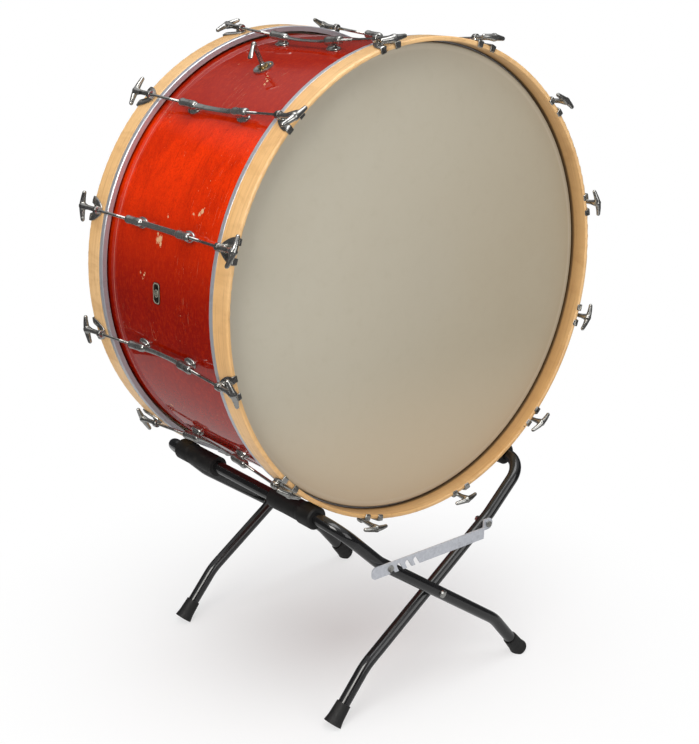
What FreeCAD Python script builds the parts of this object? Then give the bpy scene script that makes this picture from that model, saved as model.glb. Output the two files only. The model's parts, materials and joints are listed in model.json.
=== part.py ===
import FreeCAD, Part
import math
import os
from FreeCAD import Matrix, Placement, Rotation, Vector

# Bass drum lying on its side in a folding cradle stand. Millimetres.
# +Z is up, the drum's axis runs along Y, and the batter head faces -Y.
# The origin is on the floor, under the middle of the drum.

# ---- drum ----
AXIS_HEIGHT = 861.0
HALF_DEPTH = 243.0
HOOP_RADIUS = 472.0
HOOP_THICKNESS = 9.0
HOOP_WIDTH = 44.0
HOOP_EDGE_ROUND = 3.2
FLESH_WIDTH = 12.5
FLESH_INNER = 460.6
FLESH_OUTER = 471.4
SHELL_RADIUS = 455.6
SHELL_WALL = 8.0
SHELL_HALF_DEPTH = 206.0
RING_WALL = 6.0
RING_WIDTH = 38.0
HEAD_THICKNESS = 0.5
HEAD_FLAT_RADIUS = 456.4

# ---- tension hardware ----
STATIONS = 12
FIRST_STATION_ANGLE = 13.9
ROD_CIRCLE = 482.0
LUG_CIRCLE = 472.0
ROD_RADIUS = 3.0
ROD_HOLE_RADIUS = 3.5
ROD_TIP = 82.0
HANDLE_FROM_RIM = 16.0
HANDLE_HALF_WIDTH = 31.0
HANDLE_SWEEP = 3.0
HANDLE_END_RADIUS = 4.4
HUB_RADIUS = 7.5
STEM_RADIUS = 4.8
CLAW_THICKNESS = 3.0
CLAW_HALF_WIDTH = 24.0
CLAW_LENGTH = 38.0
EAR_RADIUS = 8.0
EAR_LENGTH = 10.0
EAR_PLACE = 210.0
LUG_HALF_LENGTH = 108.0
LUG_BOSS_RADIUS = 8.5
LUG_BOSS_START = 68.0
LUG_BOSS_PLACE = 85.0
LUG_FOOT_PLACE = 76.0
LUG_FOOT_RADIUS = 12.0
NUT_RADIUS = 5.8
NUT_LENGTH = 20.0
SCREW_RADIUS = 2.4
SCREW_DEPTH = 8.0
SCREW_HEAD_RADIUS = 5.0

# ---- badge and tone control ----
BADGE_ANGLE = 179.2
BADGE_PLACE = -10.0
BADGE_WIDTH = 23.0
BADGE_HEIGHT = 41.0
BADGE_THICKNESS = 1.2
TONE_ANGLE = 117.0
TONE_PLACE = -8.0
TONE_PLATE_RADIUS = 20.5
TONE_SHAFT_RADIUS = 4.0
TONE_RUNNING_GAP = 0.08
TONE_BUSH_RADIUS = 7.0
TONE_TOP = 506.0
TONE_LEVER_LENGTH = 31.0
TONE_LEVER_TURN = 23.0
TONE_ARM_RADIUS = 390.0
TONE_ARM_REACH = 199.0
TONE_ARM_TURN = 48.0
TONE_PAD_RADIUS = 24.0
TONE_PAD_LENGTH = 12.0

# ---- stand ----
TUBE_RADIUS = 12.7
TUBE_WALL = 1.6
SLEEVE_RADIUS = 21.0
BEAD_RADIUS = 23.0
BEAD_START = 198.0
SLEEVE_START = 100.0
OUTER_SLEEVE_END = 236.0
INNER_SLEEVE_END = 226.0
SEAT_GAP = 0.3
BAR_ANGLE = 32.6
OUTER_LEG_PLANE = 302.0
INNER_LEG_PLANE = 275.0
KINK = (165.0, 346.0)
LOWER_BEND = (-172.0, 108.0)
FOOT = (-262.0, 0.0)
CORNER_RADIUS = 48.0
LEG_BEND_RADIUS = 130.0
FOOT_TOP_RADIUS = 15.4
FOOT_BASE_RADIUS = 19.5
FOOT_LENGTH = 46.0
FOOT_END_HEIGHT = 7.0
FOOT_FLOOR = 5.0
BOLT_RADIUS = 4.0
BOLT_RUNNING_GAP = 0.08
BOLT_HEAD_RADIUS = 8.0
BOLT_HEAD_HEIGHT = 5.0
LATCH_X = 150.0
STRAP_THICKNESS = 3.0
STRAP_HALF_HEIGHT = 12.5
STRAP_CLEARANCE = 1.3
STRAP_TIP = 46.0
NOTCH_PITCH = 22.0
NOTCHES = 4
NOTCH_RADIUS = 4.7
NOTCH_SLANT = 60.0
NOTCH_MOUTH_SCALE = 1.4

# ---- worked out ----
FIT_GAP = 0.1
REACH = 60.0
ROD_TILT = math.degrees(math.asin((ROD_CIRCLE - LUG_CIRCLE) / (EAR_PLACE - LUG_BOSS_PLACE)))
BAR_CIRCLE = HOOP_RADIUS + SEAT_GAP + BEAD_RADIUS
BAR_X = BAR_CIRCLE * math.sin(math.radians(BAR_ANGLE))
BAR_Z = AXIS_HEIGHT - BAR_CIRCLE * math.cos(math.radians(BAR_ANGLE))
LEG_SLOPE = (KINK[1] - LOWER_BEND[1]) / (KINK[0] - LOWER_BEND[0])
PIVOT_Z = KINK[1] - LEG_SLOPE * KINK[0]
LATCH_Z = PIVOT_Z + LEG_SLOPE * LATCH_X
SHELL_INNER = SHELL_RADIUS - SHELL_WALL
HOOP_INNER = HOOP_RADIUS - HOOP_THICKNESS
HOOP_INBOARD = HALF_DEPTH - HOOP_WIDTH

os.makedirs("parts", exist_ok=True)


def save(name, solids):
    """Writes one node: a solid, or a list of separate solids."""
    shape = solids if not isinstance(solids, list) else Part.makeCompound(solids)
    shape.exportStep(os.path.join("parts", name + ".step"))
    print(name, len(shape.Solids), "solids", round(shape.Volume), "mm3", shape.isValid())


def at_station(shape, angle, side, along=0.0):
    """Places a shape that is drawn with X round the drum, Y outwards along the axis and Z radial."""
    outward = Vector(0, side, 0)
    radial = Vector(math.cos(math.radians(angle)), 0, math.sin(math.radians(angle)))
    across = outward.cross(radial)
    matrix = Matrix(
        across.x, outward.x, radial.x, 0,
        across.y, outward.y, radial.y, side * along,
        across.z, outward.z, radial.z, AXIS_HEIGHT,
        0, 0, 0, 1,
    )
    placed = shape.copy()
    placed.Placement = Placement(matrix).multiply(shape.Placement)
    return placed


def station_angle(index):
    return FIRST_STATION_ANGLE + index * 360.0 / STATIONS


def along_rod(shape):
    """Leans a shape drawn on the rod circle so that it runs from the claw's ear down to the lug."""
    leaned = shape.copy()
    leaned.rotate(Vector(0, EAR_PLACE, ROD_CIRCLE), Vector(1, 0, 0), ROD_TILT)
    return leaned


def cylinder(radius, start, end):
    """A round bar between two points."""
    axis = end.sub(start)
    return Part.makeCylinder(radius, axis.Length, start, axis)


def cone(start_radius, end_radius, start, end):
    axis = end.sub(start)
    return Part.makeCone(start_radius, end_radius, axis.Length, start, axis)


def spindle(outline, start, axis):
    """Turns (radius, distance) points about a line from start along axis, with a dome at the far end."""
    radius, place = outline[-1]
    points = [Vector(0, 0, outline[0][1])] + [Vector(r, 0, d) for r, d in outline]
    dome_middle = Vector(radius * math.sqrt(0.5), 0, place + radius * math.sqrt(0.5))
    dome_top = Vector(0, 0, place + radius)
    edges = [Part.makeLine(a, b) for a, b in zip(points, points[1:])]
    edges.append(Part.Arc(points[-1], dome_middle, dome_top).toShape())
    edges.append(Part.makeLine(dome_top, points[0]))
    solid = Part.Face(Part.Wire(edges)).revolve(Vector(0, 0, 0), Vector(0, 0, 1), 360)
    solid.Placement = Placement(start, Rotation(Vector(0, 0, 1), axis))
    return solid


def drum_ring(inner, outer, start, end):
    """A ring round the drum's axis, in world coordinates."""
    low = Vector(0, start, AXIS_HEIGHT)
    high = Vector(0, end, AXIS_HEIGHT)
    past = Vector(0, 1, 0)
    bore = cylinder(inner, low.sub(past), high.add(past))
    return cylinder(outer, low, high).cut(bore)


def turned(outline):
    """A closed (radius, y) outline turned round the drum's axis."""
    points = [Vector(r, y, AXIS_HEIGHT) for r, y in outline]
    face = Part.Face(Part.makePolygon(points + [points[0]]))
    return face.revolve(Vector(0, 0, AXIS_HEIGHT), Vector(0, 1, 0), 360)


def mirrored_y(shape):
    return shape.mirror(Vector(0, 0, 0), Vector(0, 1, 0))


# ---- drum body ----
def make_shell():
    shell = drum_ring(SHELL_INNER, SHELL_RADIUS, -SHELL_HALF_DEPTH, SHELL_HALF_DEPTH)
    for index in range(STATIONS):
        for place in (-LUG_FOOT_PLACE, LUG_FOOT_PLACE):
            hole = cylinder(
                SCREW_RADIUS + FIT_GAP,
                Vector(0, place, SHELL_INNER - 10),
                Vector(0, place, SHELL_RADIUS + 10),
            )
            shell = shell.cut(at_station(hole, station_angle(index), -1))
    bush_hole = cylinder(
        TONE_BUSH_RADIUS + FIT_GAP, Vector(0, 0, SHELL_INNER - 10), Vector(0, 0, SHELL_RADIUS + 10)
    )
    shell = shell.cut(at_station(bush_hole, TONE_ANGLE, -1, TONE_PLACE))
    for offset in badge_pin_offsets():
        pin_hole = cylinder(
            1.0 + FIT_GAP, Vector(offset, 0, SHELL_RADIUS - 5), Vector(offset, 0, SHELL_RADIUS + 5)
        )
        shell = shell.cut(at_station(pin_hole, BADGE_ANGLE, -1, BADGE_PLACE))
    return shell


def make_reinforcing_rings():
    outer = SHELL_INNER
    front = turned(
        [
            (outer, -SHELL_HALF_DEPTH),
            (outer, -SHELL_HALF_DEPTH + RING_WIDTH),
            (outer - RING_WALL, -SHELL_HALF_DEPTH + RING_WIDTH - 4),
            (outer - RING_WALL, -SHELL_HALF_DEPTH + 5),
        ]
    )
    return [front, mirrored_y(front)]


def make_hoop():
    """The front counter hoop, with all four long edges rounded."""
    hoop = drum_ring(HOOP_INNER, HOOP_RADIUS, -HALF_DEPTH, -HOOP_INBOARD)
    rims = [e for e in hoop.Edges if e.Closed and abs(e.Vertexes[0].Point.y + HALF_DEPTH) < 0.01]
    hoop = hoop.makeFillet(HOOP_EDGE_ROUND, rims)
    inboard = [e for e in hoop.Edges if e.Closed and abs(e.Vertexes[0].Point.y + HOOP_INBOARD) < 0.01]
    return hoop.makeFillet(1.0, inboard)


def make_flesh_hoop():
    start = -HOOP_INBOARD
    return turned(
        [
            (FLESH_INNER, start),
            (FLESH_OUTER - 1.5, start),
            (FLESH_OUTER, start + 1.5),
            (FLESH_OUTER, start + FLESH_WIDTH - 1.5),
            (FLESH_OUTER - 1.5, start + FLESH_WIDTH),
            (FLESH_INNER, start + FLESH_WIDTH),
        ]
    )


def make_head():
    """A film stretched over the bearing edge, with a skirt down into the flesh hoop."""
    face = -SHELL_HALF_DEPTH
    skirt = FLESH_INNER - FIT_GAP
    tail = -HOOP_INBOARD + FLESH_WIDTH - 3
    thick = HEAD_THICKNESS
    return turned(
        [
            (0, face),
            (0, face - thick),
            (HEAD_FLAT_RADIUS, face - thick),
            (skirt - 1.2, face + 1.1),
            (skirt, face + 3.4),
            (skirt, tail),
            (skirt - thick, tail),
            (skirt - thick, face + 3.6),
            (skirt - 1.7, face + 1.5),
            (HEAD_FLAT_RADIUS - 0.2, face),
        ]
    )


# ---- tension hardware, drawn with X round the drum, Y outwards and Z radial ----
def make_claw():
    """A crescent plate on the hoop's outer face, two prongs over its rim, and an ear for the rod."""
    rim = HALF_DEPTH + FIT_GAP
    tip = rim + CLAW_THICKNESS
    tail = rim - CLAW_LENGTH
    outer_x = CLAW_HALF_WIDTH
    prong_in = 10.0
    ear_x = 6.5
    points = {
        "ear_right": Vector(ear_x, tail, 0),
        "bulge_right": Vector(19.0, rim - 19, 0),
        "tip_right": Vector(outer_x, tip, 0),
        "prong_right": Vector(prong_in, tip, 0),
        "crotch": Vector(0, rim - 17, 0),
        "prong_left": Vector(-prong_in, tip, 0),
        "tip_left": Vector(-outer_x, tip, 0),
        "bulge_left": Vector(-19.0, rim - 19, 0),
        "ear_left": Vector(-ear_x, tail, 0),
    }
    edges = [
        Part.Arc(points["ear_right"], points["bulge_right"], points["tip_right"]).toShape(),
        Part.LineSegment(points["tip_right"], points["prong_right"]).toShape(),
        Part.Arc(points["prong_right"], points["crotch"], points["prong_left"]).toShape(),
        Part.LineSegment(points["prong_left"], points["tip_left"]).toShape(),
        Part.Arc(points["tip_left"], points["bulge_left"], points["ear_left"]).toShape(),
        Part.LineSegment(points["ear_left"], points["ear_right"]).toShape(),
    ]
    outline = Part.Face(Part.Wire(Part.__sortEdges__(edges)))
    outline.translate(Vector(0, 0, HOOP_RADIUS - 10))
    inner = HOOP_RADIUS + FIT_GAP
    outer = inner + CLAW_THICKNESS
    low = Vector(0, tail - 5, 0)
    high = Vector(0, tip + 5, 0)
    skin = cylinder(outer, low, high).cut(cylinder(inner, low, high))
    claw = outline.extrude(Vector(0, 0, 20)).common(skin)
    hook_depth = HOOP_RADIUS - 7.5
    for side in (-1, 1):
        hook_x = side * (outer_x + prong_in) / 2
        hook = Part.makeBox(
            outer_x - prong_in - 2,
            CLAW_THICKNESS,
            outer - hook_depth - 1,
            Vector(hook_x - (outer_x - prong_in) / 2 + 1, rim, hook_depth),
        )
        upright = [e for e in hook.Edges if e.BoundBox.YLength > CLAW_THICKNESS / 2 and e.BoundBox.ZMax < outer - 5]
        claw = claw.fuse(hook.makeFillet(4.0, upright))
    ear_start = Vector(0, tail, ROD_CIRCLE)
    ear_end = Vector(0, tail + EAR_LENGTH, ROD_CIRCLE)
    web = Part.makeBox(
        2 * ear_x, EAR_LENGTH + 5, ROD_CIRCLE - outer, Vector(-ear_x, tail, outer - 1.0)
    )
    claw = claw.fuse([along_rod(cylinder(EAR_RADIUS, ear_start, ear_end)), web])
    bore = cylinder(
        ROD_HOLE_RADIUS, Vector(0, tail - 5, ROD_CIRCLE), Vector(0, tip + 5, ROD_CIRCLE)
    )
    stem_room = cylinder(
        6.0, Vector(0, tail + EAR_LENGTH, ROD_CIRCLE), Vector(0, tip + 5, ROD_CIRCLE)
    )
    return claw.cut(along_rod(bore)).cut(along_rod(stem_room)).removeSplitter()


def make_lug():
    """A bridge casting: a boss at each end for a swivel nut, a foot under each, and a dipped bar between."""
    foot_base = Vector(0, LUG_FOOT_PLACE, SHELL_RADIUS - 4)
    foot_top = Vector(0, LUG_FOOT_PLACE, LUG_CIRCLE)
    foot = cone(LUG_FOOT_RADIUS, LUG_BOSS_RADIUS - 1.5, foot_base, foot_top)
    boss_end = Vector(0, LUG_HALF_LENGTH - 4, ROD_CIRCLE)
    nose_end = Vector(0, LUG_HALF_LENGTH, ROD_CIRCLE)
    boss_outline = [
        (LUG_BOSS_RADIUS - 2.5, 0),
        (LUG_BOSS_RADIUS, 4),
        (LUG_BOSS_RADIUS, LUG_HALF_LENGTH - LUG_BOSS_START),
    ]
    boss = spindle(boss_outline, nose_end, Vector(0, -1, 0))
    end = foot.fuse(along_rod(boss))
    lug = end.fuse([mirrored_y(end), make_lug_bar()])
    lug = lug.cut(cylinder(SHELL_RADIUS + 0.05, Vector(0, -200, 0), Vector(0, 200, 0)))
    pocket_start = Vector(0, ROD_TIP - 4, ROD_CIRCLE)
    past_end = Vector(0, LUG_HALF_LENGTH + 4, ROD_CIRCLE)
    pocket = along_rod(cylinder(NUT_RADIUS + FIT_GAP, pocket_start, boss_end))
    mouth = along_rod(cylinder(ROD_HOLE_RADIUS, pocket_start, past_end))
    screw_hole = cylinder(
        SCREW_RADIUS + FIT_GAP / 2,
        Vector(0, LUG_FOOT_PLACE, SHELL_RADIUS - 5),
        Vector(0, LUG_FOOT_PLACE, SHELL_RADIUS + SCREW_DEPTH + 1.5),
    )
    for cutter in (pocket, mouth, screw_hole):
        lug = lug.cut(cutter).cut(mirrored_y(cutter))
    return lug.removeSplitter()


def make_lug_bar():
    """The thin flat bar between the bosses, which dips a little towards the shell at mid-span."""
    half_width = 5.5
    reach = LUG_BOSS_START
    high_top, high_low = LUG_CIRCLE + 1.5, LUG_CIRCLE - 5.0
    mid_top, mid_low = SHELL_RADIUS + 14.5, SHELL_RADIUS + 10.0
    top = Part.Arc(
        Vector(-half_width, -reach, high_top),
        Vector(-half_width, 0, mid_top),
        Vector(-half_width, reach, high_top),
    ).toShape()
    low = Part.Arc(
        Vector(-half_width, reach, high_low),
        Vector(-half_width, 0, mid_low),
        Vector(-half_width, -reach, high_low),
    ).toShape()
    ends = [
        Part.makeLine(Vector(-half_width, reach, high_top), Vector(-half_width, reach, high_low)),
        Part.makeLine(Vector(-half_width, -reach, high_low), Vector(-half_width, -reach, high_top)),
    ]
    face = Part.Face(Part.Wire(Part.__sortEdges__([top, low] + ends)))
    return face.extrude(Vector(2 * half_width, 0, 0))


def make_swivel_nut():
    middle = (ROD_TIP + LUG_HALF_LENGTH - 4) / 2
    start = Vector(0, middle - NUT_LENGTH / 2, ROD_CIRCLE)
    end = Vector(0, middle + NUT_LENGTH / 2, ROD_CIRCLE)
    bore = cylinder(
        ROD_RADIUS + BOLT_RUNNING_GAP, start.sub(Vector(0, 1, 0)), end.add(Vector(0, 1, 0))
    )
    return along_rod(cylinder(NUT_RADIUS, start, end).cut(bore))


def make_lug_screw():
    seat = SHELL_INNER - 0.1
    head = cone(3.5, SCREW_HEAD_RADIUS, Vector(0, 0, seat - 3), Vector(0, 0, seat))
    shank = cylinder(SCREW_RADIUS, Vector(0, 0, seat), Vector(0, 0, SHELL_RADIUS + SCREW_DEPTH))
    return head.fuse(shank)


def handle_tilt(index):
    """How far a rod's handle is left turned from the line of the hoop, in degrees."""
    return 16.0 * math.sin(math.radians(60.0 * index + 25.0))


def make_rod(tilt):
    """A tension rod, leaned down to its lug: threaded shaft, thick stem, flared hub and a bowed cross handle."""
    place = HALF_DEPTH + HANDLE_FROM_RIM
    ear_face = EAR_PLACE + EAR_LENGTH / 2 + FIT_GAP + SEAT_GAP
    centre = Vector(0, place, ROD_CIRCLE)
    outline = [
        (ROD_RADIUS, 0),
        (ROD_RADIUS, ear_face - ROD_TIP),
        (STEM_RADIUS, ear_face - ROD_TIP),
        (STEM_RADIUS, place - 14 - ROD_TIP),
        (HUB_RADIUS, place - ROD_TIP),
    ]
    rod = spindle(outline, Vector(0, ROD_TIP, ROD_CIRCLE), Vector(0, 1, 0))
    wing_length = HANDLE_HALF_WIDTH - HANDLE_END_RADIUS
    for side in (-1, 1):
        wing_axis = Vector(side * wing_length, -HANDLE_SWEEP, 0)
        rod = rod.fuse(spindle([(6.0, 0), (HANDLE_END_RADIUS, wing_length)], centre, wing_axis))
    rod.rotate(centre, Vector(0, 1, 0), tilt)
    return along_rod(rod)


# ---- badge, drawn in a station's frame ----
def badge_pin_offsets():
    reach = BADGE_HEIGHT / 2 - 4.5
    return [-reach, reach]


def make_badge():
    """A blank curved plate with rounded ends, pinned to the shell."""
    half_height, half_width = BADGE_HEIGHT / 2, BADGE_WIDTH / 2
    block = Part.makeBox(
        BADGE_HEIGHT, BADGE_WIDTH, 20, Vector(-half_height, -half_width, SHELL_RADIUS - 10)
    )
    uprights = [e for e in block.Edges if e.BoundBox.ZLength > 10]
    block = block.makeFillet(6.0, uprights)
    inner = SHELL_RADIUS + 0.05
    low, high = Vector(0, -50, 0), Vector(0, 50, 0)
    skin = cylinder(inner + BADGE_THICKNESS, low, high).cut(cylinder(inner, low, high))
    badge = block.common(skin)
    for offset in badge_pin_offsets():
        hole = cylinder(
            1.0 + FIT_GAP / 2, Vector(offset, 0, SHELL_RADIUS - 5), Vector(offset, 0, SHELL_RADIUS + 5)
        )
        badge = badge.cut(hole)
    return badge


def make_badge_pins():
    top = SHELL_RADIUS + BADGE_THICKNESS + 0.1
    pins = []
    for offset in badge_pin_offsets():
        shank = cylinder(1.0, Vector(offset, 0, SHELL_RADIUS - 4.5), Vector(offset, 0, top))
        head = cone(2.2, 1.2, Vector(offset, 0, top), Vector(offset, 0, top + 0.8))
        pins.append(at_station(shank.fuse(head), BADGE_ANGLE, -1, BADGE_PLACE))
    return pins


# ---- tone control, drawn in its own frame: X down the shell, Y to the front, Z radial ----
def make_tone_plate():
    """A dished round plate on the shell."""
    base, rim = SHELL_RADIUS - 1.0, SHELL_RADIUS + 3.0
    plate = cylinder(TONE_PLATE_RADIUS, Vector(0, 0, base), Vector(0, 0, rim))
    dish = cone(
        TONE_BUSH_RADIUS + 3, TONE_PLATE_RADIUS - 2, Vector(0, 0, rim - 1.2), Vector(0, 0, rim + 0.01)
    )
    bore = cylinder(TONE_BUSH_RADIUS + FIT_GAP, Vector(0, 0, base - 1), Vector(0, 0, rim + 1))
    round_shell = cylinder(SHELL_RADIUS + 0.05, Vector(0, -60, 0), Vector(0, 60, 0))
    return plate.cut(dish).cut(bore).cut(round_shell)


def make_tone_bush():
    inner_end, outer_end = SHELL_INNER - 8, SHELL_RADIUS + 6
    bush = cylinder(TONE_BUSH_RADIUS, Vector(0, 0, inner_end), Vector(0, 0, outer_end))
    collar = cylinder(TONE_BUSH_RADIUS + 3, Vector(0, 0, SHELL_RADIUS + 3.1), Vector(0, 0, outer_end))
    bore = cylinder(
        TONE_SHAFT_RADIUS + TONE_RUNNING_GAP, Vector(0, 0, inner_end - 1), Vector(0, 0, outer_end + 1)
    )
    return bush.fuse(collar).cut(bore)


def make_tone_nut():
    """A hexagon nut that draws the bush against the shell from inside."""
    across_corners = 12.0
    top = SHELL_INNER - 0.5
    corners = []
    for index in range(7):
        turn = math.radians(60 * index)
        corners.append(Vector(across_corners * math.cos(turn), across_corners * math.sin(turn), top - 5))
    nut = Part.Face(Part.makePolygon(corners)).extrude(Vector(0, 0, 5))
    bore = cylinder(TONE_BUSH_RADIUS + FIT_GAP / 2, Vector(0, 0, top - 6), Vector(0, 0, top + 1))
    return nut.cut(bore)


def make_tone_shaft():
    return cylinder(
        TONE_SHAFT_RADIUS, Vector(0, 0, TONE_ARM_RADIUS - 7), Vector(0, 0, SHELL_RADIUS + 20)
    )


def make_tone_lever():
    """A post with a single bent lever at its top."""
    base = SHELL_RADIUS + 6 + SEAT_GAP
    post = cone(6.0, 4.6, Vector(0, 0, base), Vector(0, 0, TONE_TOP))
    elbow = Part.makeSphere(5.2, Vector(0, 0, TONE_TOP - 1))
    tip = Vector(TONE_LEVER_LENGTH - 5, 0, TONE_TOP - 14)
    wing = cone(4.4, 5.0, Vector(0, 0, TONE_TOP - 1), tip)
    lever = post.fuse([elbow, wing, Part.makeSphere(5.0, tip)])
    socket = cylinder(
        TONE_SHAFT_RADIUS + 0.02, Vector(0, 0, base - 1), Vector(0, 0, SHELL_RADIUS + 20.2)
    )
    lever = lever.cut(socket).removeSplitter()
    lever.rotate(Vector(0, 0, 0), Vector(0, 0, 1), TONE_LEVER_TURN)
    return lever


def turn_arm(shape):
    turned_shape = shape.copy()
    turned_shape.rotate(Vector(0, 0, 0), Vector(0, 0, 1), TONE_ARM_TURN)
    return turned_shape


def make_tone_arm():
    """The flat arm under the shell, from the shaft's hub to the pad's cup."""
    hub = cylinder(9.0, Vector(0, 0, TONE_ARM_RADIUS - 6), Vector(0, 0, TONE_ARM_RADIUS + 8))
    strip = Part.makeBox(TONE_ARM_REACH - 5, 14, 3, Vector(5, -7, TONE_ARM_RADIUS - 1.5))
    bore = cylinder(
        TONE_SHAFT_RADIUS + 0.02, Vector(0, 0, TONE_ARM_RADIUS - 8), Vector(0, 0, TONE_ARM_RADIUS + 9)
    )
    return turn_arm(hub.fuse(strip).cut(bore))


def make_tone_cup():
    start = Vector(TONE_ARM_REACH + 0.05, 0, TONE_ARM_RADIUS)
    return turn_arm(cylinder(TONE_PAD_RADIUS - 1.5, start, start.add(Vector(1.5, 0, 0))))


def make_tone_pad():
    start = Vector(TONE_ARM_REACH + 1.6, 0, TONE_ARM_RADIUS)
    edge = start.add(Vector(TONE_PAD_LENGTH - 3, 0, 0))
    front = start.add(Vector(TONE_PAD_LENGTH, 0, 0))
    pad = cylinder(TONE_PAD_RADIUS, start, edge).fuse(cone(TONE_PAD_RADIUS, TONE_PAD_RADIUS - 3, edge, front))
    return turn_arm(pad)


# ---- stand ----
def rounded_path(points, radii):
    """Straight runs through the points, with an arc of the given radius at each inner point."""
    edges = []
    last = points[0]
    for index in range(1, len(points) - 1):
        corner = points[index]
        back = points[index - 1].sub(corner).normalize()
        ahead = points[index + 1].sub(corner).normalize()
        half = back.getAngle(ahead) / 2
        tangent = radii[index - 1] / math.tan(half)
        start = corner.add(Vector(back).multiply(tangent))
        end = corner.add(Vector(ahead).multiply(tangent))
        bisector = back.add(ahead).normalize()
        to_arc = radii[index - 1] / math.sin(half) - radii[index - 1]
        middle = corner.add(bisector.multiply(to_arc))
        edges.append(Part.LineSegment(last, start).toShape())
        edges.append(Part.Arc(start, middle, end).toShape())
        last = end
    edges.append(Part.LineSegment(last, points[-1]).toShape())
    return Part.Wire(edges)


def swept(path, radius):
    first = path.Edges[0]
    direction = first.tangentAt(first.FirstParameter)
    ring = Part.Wire(Part.makeCircle(radius, first.valueAt(first.FirstParameter), direction))
    return path.makePipeShell([ring], True, False)


def leg_direction(side):
    """Unit vector down the last straight of a leg."""
    return Vector(side * (FOOT[0] - LOWER_BEND[0]), 0, FOOT[1] - LOWER_BEND[1]).normalize()


def leg_point_at_height(side, plane, height):
    share = (LOWER_BEND[1] - height) / (LOWER_BEND[1] - FOOT[1])
    x = LOWER_BEND[0] + share * (FOOT[0] - LOWER_BEND[0])
    return Vector(side * x, plane, height)


def make_frame(side, plane):
    """One bent tube. Its cradle bar is at x = side * BAR_X, and its feet are on the other side."""
    tube_end = FOOT_END_HEIGHT + FOOT_FLOOR * abs(leg_direction(side).z)
    points = []
    for edge in (-plane, plane):
        leg = [
            leg_point_at_height(side, edge, tube_end),
            Vector(side * LOWER_BEND[0], edge, LOWER_BEND[1]),
            Vector(side * KINK[0], edge, KINK[1]),
            Vector(side * BAR_X, edge, BAR_Z),
        ]
        points += leg if edge < 0 else leg[::-1]
    radii = [LEG_BEND_RADIUS, LEG_BEND_RADIUS, CORNER_RADIUS]
    path = rounded_path(points, radii + radii[::-1])
    tube = swept(path, TUBE_RADIUS).cut(swept(path, TUBE_RADIUS - TUBE_WALL))
    return tube


def across_hole(x, z, radius, plane):
    """Cutters through both of a frame's legs, along Y."""
    cutters = []
    for edge in (-plane, plane):
        cutters.append(cylinder(radius, Vector(x, edge - 20, z), Vector(x, edge + 20, z)))
    return cutters


def make_sleeves(side, sleeve_end):
    sleeves = []
    for end in (-1, 1):
        def point(y):
            return Vector(side * BAR_X, end * y, BAR_Z)

        body = cylinder(SLEEVE_RADIUS, point(SLEEVE_START), point(BEAD_START))
        bead = cylinder(BEAD_RADIUS, point(BEAD_START), point(sleeve_end - 3))
        taper = cone(SLEEVE_RADIUS, BEAD_RADIUS, point(BEAD_START - 8), point(BEAD_START))
        nose = cone(BEAD_RADIUS, BEAD_RADIUS - 3, point(sleeve_end - 3), point(sleeve_end))
        bore = cylinder(TUBE_RADIUS + 0.05, point(SLEEVE_START - 2), point(sleeve_end + 2))
        sleeves.append(body.fuse([bead, taper, nose]).cut(bore).removeSplitter())
    return sleeves


def make_feet(side, plane):
    """Two flared rubber caps, trimmed flat where they stand on the floor."""
    feet = []
    down = leg_direction(side)
    for edge in (-plane, plane):
        end = leg_point_at_height(side, edge, FOOT_END_HEIGHT)
        top = end.sub(Vector(down).multiply(FOOT_LENGTH))
        flare = end.sub(Vector(down).multiply(14))
        cap = cone(FOOT_TOP_RADIUS, FOOT_TOP_RADIUS + 1.6, top, flare)
        cap = cap.fuse(cone(FOOT_TOP_RADIUS + 1.6, FOOT_BASE_RADIUS, flare, end))
        floor_of_bore = end.sub(Vector(down).multiply(FOOT_FLOOR))
        bore = cylinder(TUBE_RADIUS + 0.05, floor_of_bore, top.sub(Vector(down).multiply(5)))
        below = Part.makeBox(200, 200, 50, Vector(end.x - 100, edge - 100, -50))
        feet.append(cap.cut(bore).cut(below).removeSplitter())
    return feet


def along_y(x, z, radius, near, far, end):
    return cylinder(radius, Vector(x, end * near, z), Vector(x, end * far, z))


def make_pivot_bolts():
    bolts = []
    outer_face = OUTER_LEG_PLANE + TUBE_RADIUS
    inner_face = INNER_LEG_PLANE - TUBE_RADIUS
    for end in (-1, 1):
        shank = along_y(0, PIVOT_Z, BOLT_RADIUS, inner_face - 10, outer_face, end)
        head = along_y(0, PIVOT_Z, BOLT_HEAD_RADIUS, outer_face, outer_face + BOLT_HEAD_HEIGHT - 2, end)
        dome = cone(
            BOLT_HEAD_RADIUS,
            BOLT_HEAD_RADIUS - 3,
            Vector(0, end * (outer_face + BOLT_HEAD_HEIGHT - 2), PIVOT_Z),
            Vector(0, end * (outer_face + BOLT_HEAD_HEIGHT), PIVOT_Z),
        )
        bolts.append(shank.fuse([head, dome]))
    return bolts


def hexagon(x, z, across, near, far, end):
    corners = []
    for index in range(7):
        turn = math.radians(60 * index)
        corners.append(Vector(x + across * math.cos(turn), end * near, z + across * math.sin(turn)))
    return Part.Face(Part.makePolygon(corners)).extrude(Vector(0, end * (far - near), 0))


def make_pivot_nuts():
    nuts = []
    face = INNER_LEG_PLANE - TUBE_RADIUS - SEAT_GAP
    for end in (-1, 1):
        nut = hexagon(0, PIVOT_Z, 7.5, face - 6, face, end)
        nuts.append(nut.cut(along_y(0, PIVOT_Z, BOLT_RADIUS + 0.02, face - 8, face + 2, end)))
    return nuts


def make_pivot_washers():
    washers = []
    face = OUTER_LEG_PLANE - TUBE_RADIUS
    for end in (-1, 1):
        washer = along_y(0, PIVOT_Z, 11.0, face - 1.1, face - 0.05, end)
        washers.append(washer.cut(along_y(0, PIVOT_Z, BOLT_RADIUS + 0.02, face - 3, face + 1, end)))
    return washers


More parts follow.
